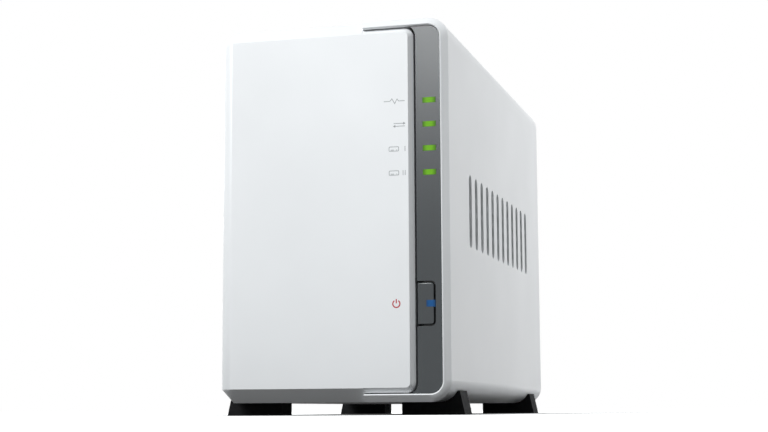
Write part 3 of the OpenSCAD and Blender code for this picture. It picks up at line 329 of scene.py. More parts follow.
def foot_rubber(name):
    """Black rubber, dull and a little uneven."""
    made = Finish(name, (0.011, 0.011, 0.012), 0.8, specular=0.12)
    made.vary(6, 0.2).gloss(2, 0.75, 0.9).grain(0.3, 0.02, 0.8)
    return made.made


def chip(name):
    """Moulded epoxy: matt, with a fine stipple."""
    made = Finish(name, (0.022, 0.023, 0.025), 0.6, specular=0.35)
    made.vary(3, 0.15).gloss(2, 0.55, 0.7).grain(0.15, 0.01, 0.8)
    return made.made


def printed(name, colour, roughness=0.5):
    """A thin printed or painted mark."""
    made = Finish(name, colour, roughness)
    made.vary(0.7, 0.06).gloss(0.5, roughness - 0.05, roughness + 0.05).grain(0.12, 0.003, 0.4)
    return made.made


LIGHTS = box_mm("light_guide")
LENS = box_mm("power_button_lens")
# the material of each slot of the record
MATERIALS = {
    "white_shell": moulded("white_abs", (0.84, 0.855, 0.868), 0.38, 0.3, 0.008),
    "grey_strip": moulded("grey_abs", (0.025, 0.031, 0.035), 0.25, 0.2, 0.002, specular=0.5, rub=0.006),
    "black_plastic": moulded("black_abs", (0.016, 0.016, 0.017), 0.42, 0.3, 0.015, specular=0.4, vary=0.12),
    "ivory_plastic": moulded("ivory_nylon", (0.72, 0.69, 0.60), 0.45, 0.4, 0.01, vary=0.03),
    "green_light": glowing("green_window", (0.03, 0.10, 0.004), (0.16, 0.44, 0.004), 0.72, 2.9,
                           middle(*LIGHTS, "x")),
    "blue_light": glowing("blue_window", (0.002, 0.016, 0.05), (0.004, 0.085, 0.27), 0.7, 2.3,
                          middle(*LENS, "x")),
    "circuit_board": board_green("circuit_board"),
    "rubber": foot_rubber("rubber"),
    "zinc_steel": zinc("zinc_steel"),
    "plated_screw": plated("plated_screw"),
    "cast_aluminium": cast("cast_aluminium"),
    "lid_steel": brushed("lid_steel", (0.42, 0.425, 0.43), 0.34, "y"),
    "disk_mirror": mirror("disk_mirror"),
    "heat_sink_metal": anodised("heat_sink_metal"),
    "chip_black": chip("chip_black"),
    "ferrite": moulded("ferrite", (0.045, 0.045, 0.05), 0.7, 0.2, 0.02, specular=0.3, vary=0.15),
    "copper": windings("copper"),
    "bronze": sintered("bronze"),
    "ribbon_white": ribbon("ribbon_white"),
}
for part in frame["record"]["subparts"]:
    mesh = nodes[part["node"]].data
    mesh.materials.clear()
    mesh.materials.append(MATERIALS[part["material_slot"]])


def soften(node, width_mm):
    """Rounds a CAD node's sharp edges a little, as moulding and bending do."""
    owner = nodes[node]
    join = owner.modifiers.new("join", "WELD")
    join.merge_threshold = 0.001 * MM
    edge = owner.modifiers.new("edge", "BEVEL")
    edge.width = width_mm * MM
    edge.segments = 2
    edge.limit_method = "ANGLE"
    edge.angle_limit = math.radians(CREASE)
    edge.harden_normals = True


# ---- mesh helpers ----

AXES = {"x": Vector((1, 0, 0)), "y": Vector((0, 1, 0)), "z": Vector((0, 0, 1))}


def add_box(bm, low, high):
    """A box with outward faces."""
    corners = [bm.verts.new((x, y, z)) for x in (low[0], high[0]) for y in (low[1], high[1])
               for z in (low[2], high[2])]
    for face in ((0, 1, 3, 2), (4, 6, 7, 5), (0, 4, 5, 1), (2, 3, 7, 6), (0, 2, 6, 4), (1, 5, 7, 3)):
        bm.faces.new([corners[i] for i in face])


def cross_axes(along):
    """Two directions square to that one."""
    first = along.cross(AXES["z"] if abs(along.z) < 0.9 else AXES["x"]).normalized()
    return first, along.cross(first).normalized()


def add_lathe(bm, centre, axis, profile, sides=32):
    """Turns a chain of (radius, distance along the axis) about the axis."""
    along = AXES[axis]
    first, second = cross_axes(along)
    rings = []
    for radius, distance in profile:
        spot = Vector(centre) + along * distance
        turns = [2 * math.pi * i / sides for i in range(sides)] if radius > 1e-6 else [0]
        rings.append([bm.verts.new(spot + (first * math.cos(t) + second * math.sin(t)) * radius)
                      for t in turns])
    for near, far in zip(rings, rings[1:]):
        for i in range(sides):
            j = (i + 1) % sides
            loop = [near[i % len(near)], far[i % len(far)], far[j % len(far)], near[j % len(near)]]
            loop = [v for k, v in enumerate(loop) if v not in loop[:k]]
            if len(loop) > 2:
                bm.faces.new(loop)


def add_rings(bm, chain, place):
    """A ring of corners for each (outline, w) of the chain; place(u, v, w) turns them into points."""
    return [[bm.verts.new(place(u, v, w)) for u, v in outline] for outline, w in chain]


def join_rings(bm, rings, around=False):
    """Skins a chain of rings with as many points; around also joins the last one to the first."""
    for near, far in zip(rings, rings[1:] + (rings[:1] if around else [])):
        for i in range(len(near)):
            j = (i + 1) % len(near)
            bm.faces.new((near[i], near[j], far[j], far[i]))


def add_tube(bm, points, radius, sides=8):
    """A round wire along the points, closed at both ends."""
    points = [Vector(p) for p in points]
    rings = []
    side = None
    for i, point in enumerate(points):
        along = (points[min(i + 1, len(points) - 1)] - points[max(i - 1, 0)]).normalized()
        side = cross_axes(along)[0] if side is None else (side - along * side.dot(along)).normalized()
        other = along.cross(side)
        rings.append([bm.verts.new(point + (side * math.cos(t) + other * math.sin(t)) * radius)
                      for t in (2 * math.pi * k / sides for k in range(sides))])
    join_rings(bm, rings)
    bm.faces.new(rings[0])
    bm.faces.new(rings[-1])


def add_plate(bm, outline, low, high, place):
    """A flat shape, given by its outline, between two planes; place(u, v, w) turns it into a point."""
    rings = add_rings(bm, ((outline, low), (outline, high)), place)
    bm.faces.new(rings[0])
    bm.faces.new(rings[1])
    join_rings(bm, rings)


def add_band(bm, outer, inner, low, high, place):
    """A closed flat band between two outlines with as many points."""
    rings = add_rings(bm, ((outer, low), (outer, high), (inner, high), (inner, low)), place)
    join_rings(bm, rings, around=True)


def stroke(points, width):
    """The outline of an open line of that width, with mitred corners."""
    left, right = [], []
    for i, (u, v) in enumerate(points):
        sides = []
        for a, b in ((i - 1, i), (i, i + 1)):
            if a >= 0 and b < len(points):
                run = Vector((points[b][0] - points[a][0], points[b][1] - points[a][1])).normalized()
                sides.append(Vector((-run.y, run.x)))
        normal = sum(sides, Vector((0, 0))).normalized()
        reach = width / 2 / max(0.35, normal.dot(sides[0]))
        left.append((u + normal.x * reach, v + normal.y * reach))
        right.append((u - normal.x * reach, v - normal.y * reach))
    return left + right[::-1]


def arc(cu, cv, radius, start, end, steps):
    """Points on an arc that turns from +u towards +v, between two angles in degrees."""
    turns = (math.radians(start + (end - start) * i / steps) for i in range(steps + 1))
    return [(cu + radius * math.cos(t), cv + radius * math.sin(t)) for t in turns]


def round_box(u0, u1, v0, v1, radius, steps=6):
    """The outline of a rectangle with round corners, from its upper right one on."""
    points = []
    for cu, cv, start in ((u1 - radius, v1 - radius, 0), (u0 + radius, v1 - radius, 90),
                          (u0 + radius, v0 + radius, 180), (u1 - radius, v0 + radius, 270)):
        points += arc(cu, cv, radius, start, start + 90, steps)
    return points


def subdivided(outline, step):
    """The same closed outline with a point at least every step along it."""
    points = []
    for (u0, v0), (u1, v1) in zip(outline, outline[1:] + outline[:1]):
        parts = max(1, math.ceil(math.hypot(u1 - u0, v1 - v0) / step))
        points += [(u0 + (u1 - u0) * i / parts, v0 + (v1 - v0) * i / parts) for i in range(parts)]
    return points


def ring(cu, cv, radius, start=0, end=360, steps=48):
    """Points on a circle, or on a part of it, clockwise from the top."""
    closed = end - start == 360
    turns = (math.radians(start + (end - start) * i / steps) for i in range(steps if closed else steps + 1))
    return [(cu + radius * math.sin(t), cv + radius * math.cos(t)) for t in turns]


def box_outline(u0, u1, v0, v1):
    """The outline of a rectangle."""
    return [(u0, v0), (u1, v0), (u1, v1), (u0, v1)]


def piece(name, body, material, build, replaces=(), bevel=0.0, smooth=False):
    """A new piece, built by build(bm) in millimetres, that rides on a body."""
    bm = bmesh.new()
    build(bm)
    bmesh.ops.recalc_face_normals(bm, faces=bm.faces)
    bmesh.ops.scale(bm, vec=(MM, MM, MM), verts=bm.verts)
    mesh = bpy.data.meshes.new(name)
    bm.to_mesh(mesh)
    bm.free()
    made = bpy.data.objects.new(name, mesh)
    bpy.context.scene.collection.objects.link(made)
    mesh.materials.append(material)
    if bevel:
        edge = made.modifiers.new("edge", "BEVEL")
        edge.width = bevel * MM
        edge.segments = 2
        edge.limit_method = "ANGLE"
    if smooth:
        mesh.shade_smooth()
        mesh.set_sharp_from_angle(angle=math.radians(CREASE))
    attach(made, body)
    if replaces:
        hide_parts(*replaces)
    return made


def solids_of(node):
    """The corner pairs of each separate solid of a CAD node, in millimetres."""
    mesh = nodes[node].data
    keys = [tuple(round(c / MM, 3) for c in v.co) for v in mesh.vertices]
    parent = {k: k for k in keys}

    def root(key):
        while parent[key] != key:
            parent[key] = parent[parent[key]]
            key = parent[key]
        return key

    for polygon in mesh.polygons:
        first = root(keys[polygon.vertices[0]])
        for i in polygon.vertices[1:]:
            parent[root(keys[i])] = first
    groups = {}
    for key in parent:
        groups.setdefault(root(key), []).append(key)
    boxes = [(Vector(map(min, zip(*g))), Vector(map(max, zip(*g)))) for g in groups.values()]
    return sorted(boxes, key=lambda b: tuple(b[0]))


# ---- the marks on the front ----

COVER = box_mm("left_cover")
# the marks' thickness, their right edge, the width of their lines and their height
MARK_T = 0.02
MARK_RIGHT = 31.7
MARK_W = 0.3
MARK_H = 2.1
POWER_R = 1.5
POWER_W = 0.52
WINDOW_H = 2.2
INK_GREY = printed("grey_ink", (0.36, 0.375, 0.385))
INK_RED = printed("red_ink", (0.42, 0.012, 0.03))


def on_front(u, v, w):
    """A point of the front's print: u to the right, v up, w out of the face."""
    return (u, COVER[0].y - w, v)


def light_rows():
    """The heights of the four windows' middles, from the top."""
    low, high = LIGHTS
    return [high.z - WINDOW_H / 2 - i * (high.z - low.z - WINDOW_H) / 3 for i in range(4)]


def front_mark(name, lines, bands=()):
    """A grey mark on the front, of lines and of closed bands."""
    def build(bm):
        for line in lines:
            add_plate(bm, stroke(line, MARK_W), 0, MARK_T, on_front)
        for outer, inner in bands:
            add_band(bm, outer, inner, 0, MARK_T, on_front)
    piece(name, "cover", INK_GREY, build)


def make_marks():
    """A pulse for the state, two arrows for the network, and a drive with one or two bars for each bay."""
    pulse, network, *bays = light_rows()
    half = MARK_H / 2
    start = MARK_RIGHT - 9
    front_mark("status_mark", [[(start, pulse), (start + 2.6, pulse), (start + 3.5, pulse + half),
                                (start + 4.7, pulse - half), (start + 5.7, pulse + half * 0.8),
                                (start + 6.4, pulse), (start + 9, pulse)]])
    start = MARK_RIGHT - 4.8
    arrows = []
    for side in (1, -1):
        tail, tip = (start, MARK_RIGHT) if side > 0 else (MARK_RIGHT, start)
        v = network + side * half * 0.55
        barb = tip - side * 0.75
        arrows += [[(tail, v), (tip, v)], [(barb, v + half * 0.42), (tip, v), (barb, v - half * 0.42)]]
    front_mark("network_mark", arrows)
    right = MARK_RIGHT - 2.6
    left = right - 4.4
    for number, v in enumerate(bays, 1):
        bars = [[(MARK_RIGHT - 0.9 * i, v - half), (MARK_RIGHT - 0.9 * i, v + half)] for i in range(number)]
        outer = round_box(left, right, v - half, v + half, 0.5)
        inner = round_box(left + MARK_W, right - MARK_W, v - half + MARK_W, v + half - MARK_W, 0.25)
        dashes = [[(left + 0.8, v - 0.45), (left + 2.2, v - 0.45)],
                  [(right - 1.2, v - 0.45), (right - 0.8, v - 0.45)]]
        front_mark(f"bay_{number}_mark", bars + dashes, [(outer, inner)])

    v = middle(*box_mm("power_button"), "z")
    u = MARK_RIGHT - 4.15

    def build(bm):
        add_plate(bm, stroke(ring(u, v, POWER_R, 32, 328), POWER_W), 0, MARK_T, on_front)
        add_plate(bm, stroke([(u, v + 0.2), (u, v + 2.0)], POWER_W), 0, MARK_T, on_front)
    piece("power_mark", "cover", INK_RED, build)


# ---- the rear sockets ----

GOLD = plated("gold_contact", (0.80, 0.57, 0.24))
BLUE_TONGUE = moulded("blue_nylon", (0.02, 0.10, 0.42), 0.4, 0.4, 0.01, vary=0.05)


# how far a sprung contact stands off the mouth's left side, at each depth
LAN_SPRING = ((0.5, 3.2), (1.2, 4.0), (1.9, 5.5), (2.8, 8.0), (3.3, 10.5), (3.1, 12.7))
LAN_PITCH = 1.02


def make_lan():
    """A dark insert with eight sprung contacts, and two small lights beside the mouth."""
    low, high = box_mm("lan_port")
    zc = middle(low, high, "z")
    x0, x1 = low.x + 2, low.x + 10
    z0, z1 = zc - 6, zc + 6
    back = high.y
    inner, lip = back - 12.9, back - 0.6
    skin = 0.15

    def liner(bm):
        add_box(bm, (x0 - skin / 2, inner, z0 + skin), (x0 + skin, lip, z1 - skin))
        add_box(bm, (x0, inner, z0), (x1, lip, z0 + skin))
        add_box(bm, (x0, inner, z1 - skin), (x1, lip, z1))
        add_box(bm, (x0, inner - 0.1, z0), (x1, inner + 0.3, z1))
        # the combs between the contacts
        for i in range(9):
            z = zc + (i - 4) * LAN_PITCH
            add_box(bm, (x0 + skin, inner + 0.1, z - 0.12), (x0 + 2.2, back - 5.5, z + 0.12))
    piece("lan_liner", "chassis", MATERIALS["black_plastic"], liner)

    def contacts(bm):
        for i in range(8):
            z = zc + (i - 3.5) * LAN_PITCH
            add_tube(bm, [(x0 + off, back - depth, z) for off, depth in LAN_SPRING], 0.16)
    piece("lan_contacts", "chassis", GOLD, contacts, smooth=True)
    for name, z, tint in (("lan_light_green", z0 - 0.9, (0.10, 0.34, 0.06)),
                          ("lan_light_amber", z1 + 0.9, (0.55, 0.24, 0.02))):
        def lamp(bm, z=z):
            add_box(bm, (x0 + 0.4, back - 0.4, z - 0.55), (x0 + 3.2, back + 0.05, z + 0.55))
        piece(name, "chassis", moulded(name + "_lens", tint, 0.25, 0.4, 0.005), lamp, bevel=0.12)


def make_usb():
    """Blue tongues over the metal ones, each with its contacts."""
    low, high = box_mm("usb_ports")
    zc = middle(low, high, "z")
    wall, pitch, mouth, gap = 1, 8, 5.2, 0.6
    thick, margin, skin = 1.7, 1.2, 0.06
    # the right face of the metal tongue in each port
    rights = [low.x + wall + i * pitch + mouth - gap for i in range(2)]

    def tongues(bm):
        for right in rights:
            add_box(bm, (right - thick - skin, high.y - 10.2, low.z + margin - skin),
                    (right + skin, high.y - 0.95, high.z - margin + skin))
    piece("usb_tongues", "chassis", BLUE_TONGUE, tongues, bevel=0.1)

    def contacts(bm):
        for right in rights:
            x0, x1 = right - thick - skin - 0.05, right - thick - skin + 0.02
            for z in (zc - 3.5, zc - 1.0, zc + 1.0, zc + 3.5):
                add_box(bm, (x0, high.y - 9.8, z - 0.5), (x1, high.y - 2.2, z + 0.5))
            for z in (zc + (k - 2) * 2.0 for k in range(5)):
                add_box(bm, (x0, high.y - 1.9, z - 0.3), (x1, high.y - 1.05, z + 0.3))
    piece("usb_contacts", "chassis", GOLD, contacts)


def make_inlet():
    """A plated sleeve on the pin in the bore."""
    low, high = box_mm("power_inlet")
    pin_at = (low.x + 4.5, high.y - 1, middle(low, high, "z"))
    pin_r = 1.24

    def pin(bm):
        add_lathe(bm, pin_at, "y", [(0, 0.05), (0.7, 0.05), (pin_r, -0.5), (pin_r, -8.9), (0, -8.9)], 24)
    piece("inlet_pin", "chassis", MATERIALS["plated_screw"], pin, smooth=True)


# ---- the fan ----


def make_fan():
    """Seven swept blades on a cup, in place of the flat blades."""
    low, high = box_mm("fan_rotor")
    zc = middle(*box_mm("fan_frame"), "z")
    cup_r, tip_r, cup_wall = 18.0, high.x, 1.6
    y0, y1 = low.y, low.y + 18.9
    shaft_r, shaft_end = 1.45, high.y - y0 - 2.0
    count, along_steps, chord_steps = 7, 12, 8

    def blade_point(turn, share, along, side):
        """share runs from the hub to the tip and along from the front edge to the rear one."""
        radius = cup_r - 0.4 + (tip_r - cup_r + 0.4) * share
        sweep = 0.30 * share * share
        wide = (0.74 - 0.10 * share) * (1 - 0.25 * (1 - share) * abs(along - 0.5))
        twist = 0.82 - 0.34 * share
        angle = turn + sweep + wide * (along - 0.5)
        depth = (y1 - y0 - 3) * twist
        camber = math.sin(math.pi * along) * (1.6 - 0.5 * share)
        thick = 0.55 * math.sin(math.pi * min(1, 0.08 + along * 0.9)) + 0.18
        y = (y0 + y1) / 2 + (along - 0.5) * depth - camber + side * thick
        return (radius * math.sin(angle), y, zc + radius * math.cos(angle))

    def build(bm):
        cup = [(0, 0), (cup_r - 1.6, 0), (cup_r - 0.5, 0.4), (cup_r, 1.6), (cup_r, y1 - y0),
               (cup_r - cup_wall, y1 - y0), (cup_r - cup_wall, 2.2), (0, 2.2)]
        add_lathe(bm, (0, y0, zc), "y", cup, 64)
        for b in range(count):
            turn = 2 * math.pi * b / count
            grid = {}
            for side in (-1, 1):
                for i in range(along_steps + 1):
                    for j in range(chord_steps + 1):
                        spot = blade_point(turn, i / along_steps, j / chord_steps, side)
                        grid[side, i, j] = bm.verts.new(spot)
            for i in range(along_steps):
                for j in range(chord_steps):
                    square = ((i, j), (i + 1, j), (i + 1, j + 1), (i, j + 1))
                    for side in (-1, 1):
                        bm.faces.new([grid[side, a, c] for a, c in square])
            rim = [(i, 0) for i in range(along_steps)] + [(along_steps, j) for j in range(chord_steps)]
            rim += [(i, chord_steps) for i in range(along_steps, 0, -1)]
            rim += [(0, j) for j in range(chord_steps, 0, -1)]
            for (a, c), (d, e) in zip(rim, rim[1:] + rim[:1]):
                bm.faces.new((grid[-1, a, c], grid[-1, d, e], grid[1, d, e], grid[1, a, c]))
        add_lathe(bm, (0, y0 + 2, zc), "y",
                  [(0, 0), (shaft_r, 0), (shaft_r, shaft_end - 0.1), (0, shaft_end)], 20)
    piece("fan_blades", "fan_rotor", MATERIALS["black_plastic"], build, ["fan_rotor"],
          smooth=True)

    def label(bm):
        add_lathe(bm, (0, y0, zc), "y", [(0, -0.06), (13, -0.06), (13, 0.01), (0, 0.01)], 64)
    piece("fan_label", "fan_rotor", printed("fan_label_foil", (0.55, 0.56, 0.57), 0.35), label)

    def label_print(bm):
        for radius, width in ((12, 0.5), (8.2, 0.25)):
            add_band(bm, ring(0, zc, radius + width / 2), ring(0, zc, radius - width / 2), -0.09, -0.05,
                     lambda u, v, w: (u, y0 + w, v))
    piece("fan_label_print", "fan_rotor", printed("dark_ink", (0.03, 0.03, 0.035)), label_print)


# ---- the drives ----

LABEL_WHITE = printed("label_paper", (0.74, 0.745, 0.74), 0.42)
LABEL_INK = printed("label_ink", (0.05, 0.055, 0.06))
LABEL_BAND = printed("label_band", (0.13, 0.30, 0.22))
# heights over the lid's face: the raised field, the step of its edge, the label's paper and its ink
FIELD = 0.5
STEP = 0.25
PAPER = FIELD + 0.06
INK = PAPER + 0.015
WELL_R = 15.2
SCREW_R = 2.4
LABEL_MARGIN = 4


def make_drive(number):
    """The lid's raised field, its screws, and a plain label with bars where the print would be."""
    low, high = box_mm(f"drive_{number}_lid")
    disks = box_mm(f"drive_{number}_disks")
    face = low.x
    cy, cz = middle(*disks, "y"), middle(*disks, "z")
    reach = (high.z - low.z) / 2 - 3.2

    def outward(u, v, w):
        return (face - w, u, v)

    def field(bm):
        # the outline follows the disks at the front and has two square corners at the back
        square = round_box(cy + 10, high.y - 9, cz - reach + 2, cz + reach - 2, 7)
        outline = subdivided(arc(cy, cz, reach, 98, 258, 32) + square[21:] + square[:7], 2)
        inner = [(u - (u - cy) * 0.012, v - (v - cz) * 0.012) for u, v in outline]

        def well(radius):
            """A circle over the motor, with a point for each one of the outline."""
            spokes = [(u - cy, v - cz, math.hypot(u - cy, v - cz)) for u, v in outline]
            return [(cy + radius * u / length, cz + radius * v / length) for u, v, length in spokes]

        chain = ((outline, 0), (outline, STEP), (inner, FIELD),
                 (well(WELL_R + 0.5), FIELD), (well(WELL_R), STEP), (well(WELL_R), 0))
        join_rings(bm, add_rings(bm, chain, outward), around=True)
    piece(f"drive_{number}_lid_field", "chassis", MATERIALS["lid_steel"], field)

    def motor_cap(bm):
        cap = [(0, -0.3), (9, -0.3), (9.6, -0.1), (9.6, 0.35), (0, 0.35)]
        groove = [(12.2, 0.2), (12.2, -0.25), (12.8, -0.25), (12.8, 0.2)]
        for profile in (cap, groove):
            add_lathe(bm, (face, cy, cz), "x", profile, 48)
    piece(f"drive_{number}_motor_cap", "chassis", MATERIALS["lid_steel"], motor_cap, smooth=True)

    def screws(bm):
        for y, z in ((low.y + 5.5, low.z + 5), (low.y + 5.5, high.z - 5), (high.y - 4.5, low.z + 5),
                     (high.y - 4.5, high.z - 5), (cy + 42, low.z + 3.6), (cy + 42, high.z - 3.6)):
            edge, rim = (arc(y, z, radius, 0, 350, 35) for radius in (SCREW_R, SCREW_R * 0.88))
            # the recess has six lobes
            star = []
            for t in map(math.radians, range(0, 360, 10)):
                lobe = 1.15 + 0.25 * math.cos(6 * t)
                star.append((y + lobe * math.cos(t), z + lobe * math.sin(t)))
            rings = add_rings(bm, ((edge, 0), (edge, 0.55), (rim, 0.75), (star, 0.75), (star, 0.2)), outward)
            join_rings(bm, rings)
            bm.faces.new(rings[-1])
            bm.faces.new(rings[0])
    piece(f"drive_{number}_lid_screws", "chassis", MATERIALS["plated_screw"], screws)

    left, right = cy + 17.5, high.y - 14
    bottom, upper = cz - 38, cz + 38

    def label(bm):
        add_plate(bm, round_box(left, right, bottom, upper, 2), FIELD, PAPER, outward)
    piece(f"drive_{number}_label", "chassis", LABEL_WHITE, label)

    def bars(bm):
        rng = random.Random(SEED + number)
        first, last = left + LABEL_MARGIN, right - LABEL_MARGIN
        y = first
        while y < last:
            wide = rng.choice((0.25, 0.4, 0.6))
            add_plate(bm, box_outline(y, y + wide, bottom + 4, bottom + 11), PAPER, INK, outward)
            y += wide + rng.choice((0.3, 0.5, 0.8))
        for row in range(7):
            v = bottom + 18 + row * 3.2
            # seen from outside, y runs to the left, so the lines start at the last y
            end = last - rng.uniform(0.35, 0.95) * (last - first)
            add_plate(bm, box_outline(end, last, v, v + 0.9), PAPER, INK, outward)
    piece(f"drive_{number}_label_print", "chassis", LABEL_INK, bars)

    def band(bm):
        add_plate(bm, round_box(left + 1.5, right - 1.5, upper - 18, upper - 1.5, 1.2), PAPER, INK, outward)
    piece(f"drive_{number}_label_band", "chassis", LABEL_BAND, band)


# ---- the power button ----

# how far the flange reaches past the cap at its right, and above and below it
FLANGE_SIDE = 1.2
FLANGE_END = 1.6
CAP_CORNER = 1.3
CAP_EDGE = 0.55


def make_power_button():
    """A cap with round edges, and behind it the flange and stem that stop it and push the switch, painted
    black as shade in the gap round the cap.
    """
    low, high = box_mm("power_button")
    right = high.x - FLANGE_SIDE
    bottom, top = low.z + FLANGE_END, high.z - FLANGE_END

    def inward(u, v, w):
        return (u, w, v)

    def outline(inset):
        """The cap's outline, round at its right corners, drawn in by the inset."""
        radius = CAP_CORNER - inset
        return (arc(right - CAP_CORNER, bottom + CAP_CORNER, radius, -90, 0, 8)
                + arc(right - CAP_CORNER, top - CAP_CORNER, radius, 0, 90, 8)
                + [(low.x + inset, top - inset), (low.x + inset, bottom + inset)])

    def cap(bm):
        levels = [(0, low.y + 3.0)]
        for turn in map(math.radians, range(0, 91, 15)):
            levels.append((CAP_EDGE * (1 - math.cos(turn)), low.y + CAP_EDGE * (1 - math.sin(turn))))
        # one more ring holds the shading of the flat face
        levels.append((CAP_EDGE + 0.06, low.y))
        rings = add_rings(bm, [(outline(inset), y) for inset, y in levels], inward)
        join_rings(bm, rings)
        bm.faces.new(rings[0])
        bm.faces.new(rings[-1])
    piece("power_button_cap", "power_button", MATERIALS["grey_strip"], cap, ["power_button"],
          smooth=True)

    def flange(bm):
        plate = round_box(low.x + 1.8, high.x, low.z, high.z, 0.8)
        add_plate(bm, plate, low.y + 2.45, low.y + 3.6, inward)
        stem = [(0, low.y + 3.5), (2, low.y + 3.5), (2, high.y - 0.3), (1.7, high.y), (0, high.y)]
        add_lathe(bm, (low.x + 3.8, 0, middle(low, high, "z")), "y", stem, 32)
    # painted shade: the flange and stem are black so that the gap round the cap looks dark; the real flange
    # is the cap's grey plastic
    piece("power_button_flange", "power_button", MATERIALS["black_plastic"], flange,
          smooth=True)


# ---- the boards ----

TINNED = plated("tinned_pad")
BOARD_PARTS = 260
BOARD_TRIES = 6000
# the share of the scattered parts that are chips, and the pitch of their leads
CHIP_SHARE = 0.14
LEAD_PITCH = 0.8
AROUND_THE_BOARD = ("mainboard", "right_shell", "left_cover", "rear_plate", "front_bezel")


def resting_box(face, high, y0, y1, z0, z1):
    """The corners of a box that stands on a board's face, which looks to the left."""
    return (face - high, y0, z0), (face, y1, z1)


def make_board_parts():
    """Small parts scattered over the main board's free places, each with its tinned ends."""
    board = box_mm("mainboard")
    face = board[0].x
    taken = []
    for name in (n for n in nodes if n not in AROUND_THE_BOARD):
        for low, high in solids_of(name):
            if high.x > face - 2.5 and low.x < face + 0.01:
                taken.append((low.y - 1, high.y + 1, low.z - 1, high.z + 1))
    rng = random.Random(SEED)
    parts, chips = [], []
    tries = 0
    while len(parts) + len(chips) < BOARD_PARTS and tries < BOARD_TRIES:
        tries += 1
        y = rng.uniform(board[0].y + 4, 78)
        z = rng.uniform(board[0].z + 3, board[1].z - 4)
        big = rng.random() < CHIP_SHARE
        if big:
            wide = tall = rng.choice((3, 4, 5.5))
        else:
            wide, tall = rng.choice(((1.6, 0.8), (1.0, 0.5), (2.0, 1.2), (3.2, 1.6)))
        if rng.random() < 0.5:
            wide, tall = tall, wide
        spot = (y - wide / 2 - 0.5, y + wide / 2 + 0.5, z - tall / 2 - 0.5, z + tall / 2 + 0.5)
        if any(spot[0] < t[1] and t[0] < spot[1] and spot[2] < t[3] and t[2] < spot[3] for t in taken):
            continue
        taken.append(spot)
        (chips if big else parts).append((y, z, wide, tall, rng.choice((0.45, 0.6, 0.8))))

    def bodies(bm):
        for y, z, wide, tall, high in parts:
            # the quarter at each end is the tinned tip
            y_half, z_half = (wide / 4, tall / 2) if wide > tall else (wide / 2, tall / 4)
            add_box(bm, *resting_box(face, high, y - y_half, y + y_half, z - z_half, z + z_half))
    ceramic = moulded("ceramic", (0.24, 0.19, 0.14), 0.5, 0.3, 0.01, vary=0.2)
    piece("board_resistors", "chassis", ceramic, bodies, bevel=0.05)

    def tips(bm):
        thick = 0.03
        for y, z, wide, tall, high in parts:
            for side in (-1, 1):
                if wide > tall:
                    a, b = sorted((y + side * wide / 2, y + side * wide / 4))
                    edges = (a, b, z - tall / 2 - thick, z + tall / 2 + thick)
                else:
                    a, b = sorted((z + side * tall / 2, z + side * tall / 4))
                    edges = (y - wide / 2 - thick, y + wide / 2 + thick, a, b)
                add_box(bm, *resting_box(face, high + thick, *edges))
        for y, z, wide, tall, high in chips:
            for side in (-1, 1):
                for k in range(max(2, int(wide / LEAD_PITCH))):
                    v = z - tall / 2 + 0.5 + k * LEAD_PITCH
                    a, b = sorted((y + side * wide / 2, y + side * (wide / 2 + 0.7)))
                    add_box(bm, *resting_box(face, 0.25, a, b, v - 0.15, v + 0.15))
    piece("board_solder", "chassis", TINNED, tips, bevel=0.04)

    def blocks(bm):
        for y, z, wide, tall, high in chips:
            add_box(bm, (face - 0.95, y - wide / 2, z - tall / 2), (face - 0.1, y + wide / 2, z + tall / 2))
    piece("board_chips", "chassis", MATERIALS["chip_black"], blocks, bevel=0.08)


def make_capacitor_tops():
    """Bare aluminium tops, each with a cross on it."""
    def tops(bm):
        for low, high in solids_of("capacitors"):
            y, z, r = middle(low, high, "y"), middle(low, high, "z"), (high.y - low.y) / 2
            disc = [(0, -0.04), (r * 0.78, -0.04), (r * 0.80, 0.02), (0, 0.02)]
            add_lathe(bm, (low.x, y, z), "x", disc, 32)
            for turn in (45, 135):
                t = math.radians(turn)
                line = [(y - math.cos(t) * r * 0.7, z - math.sin(t) * r * 0.7),
                        (y + math.cos(t) * r * 0.7, z + math.sin(t) * r * 0.7)]
                add_plate(bm, stroke(line, 0.18), 0.03, 0.09, lambda u, v, w: (low.x - w, u, v))
    piece("capacitor_tops", "chassis", brushed("capacitor_foil", (0.62, 0.63, 0.64), 0.3, "y", 1.5), tops)


# ---- the cover's inside ----

COVER_WALL = 2.5
RIB_HALF = 0.6
RIB_OVERLAP = 0.05


def make_ribs():
    """Stiffening ribs moulded inside the cover, clear of what slides past."""
    low, high = COVER
    wall, roof = low.x + COVER_WALL, high.z - COVER_WALL

    def ribs(bm):
        for z in (24, 44, 124, 146):
            add_box(bm, (wall - RIB_OVERLAP, -104, z - RIB_HALF), (wall + 1.6, 100, z + RIB_HALF))
        for y in (-96, 96):
            add_box(bm, (wall - RIB_OVERLAP, y - RIB_HALF, 20), (wall + 1.2, y + RIB_HALF, 150))
        for x in (-34, -16):
            add_box(bm, (x - RIB_HALF, -100, roof - 1.2), (x + RIB_HALF, 60, roof + RIB_OVERLAP))
    piece("cover_ribs", "cover", MATERIALS["white_shell"], ribs, bevel=0.2)


for softened, width in (("right_shell", 0.15), ("left_cover", 0.15), ("front_bezel", 0.12)):
    soften(softened, width)
make_marks()
make_power_button()
make_lan()
make_usb()
make_inlet()
make_fan()
make_drive(1)
make_drive(2)
make_board_parts()
make_capacitor_tops()
make_ribs()


# ---- the stage ----

CAMERA_AT = (186.7, -721.2, 2.2)
CAMERA_YAW = 0.26355
CAMERA_PITCH = 0.12565
CAMERA_ROLL = -0.0056
CAMERA_LENS = 71.92
FLOOR_WIDTH = 20000
WORLD_LIGHT = 0.15
# how much the floor glows close to the box, and how much it bounces away from it
FLOOR_LIFT = 0.12
FLOOR_BOUNCE = 0.28
# where the floor's painted contact shadow, its glow and its bounce start and end, in metres from the
# footprint
PAINTED_SHADOW_REACH = (0.0, 0.008)
LIFT_REACH = (0.02, 0.28)
BOUNCE_REACH = (0.03, 0.15)
LAMP_COLOUR = (0.97, 0.99, 1.0)
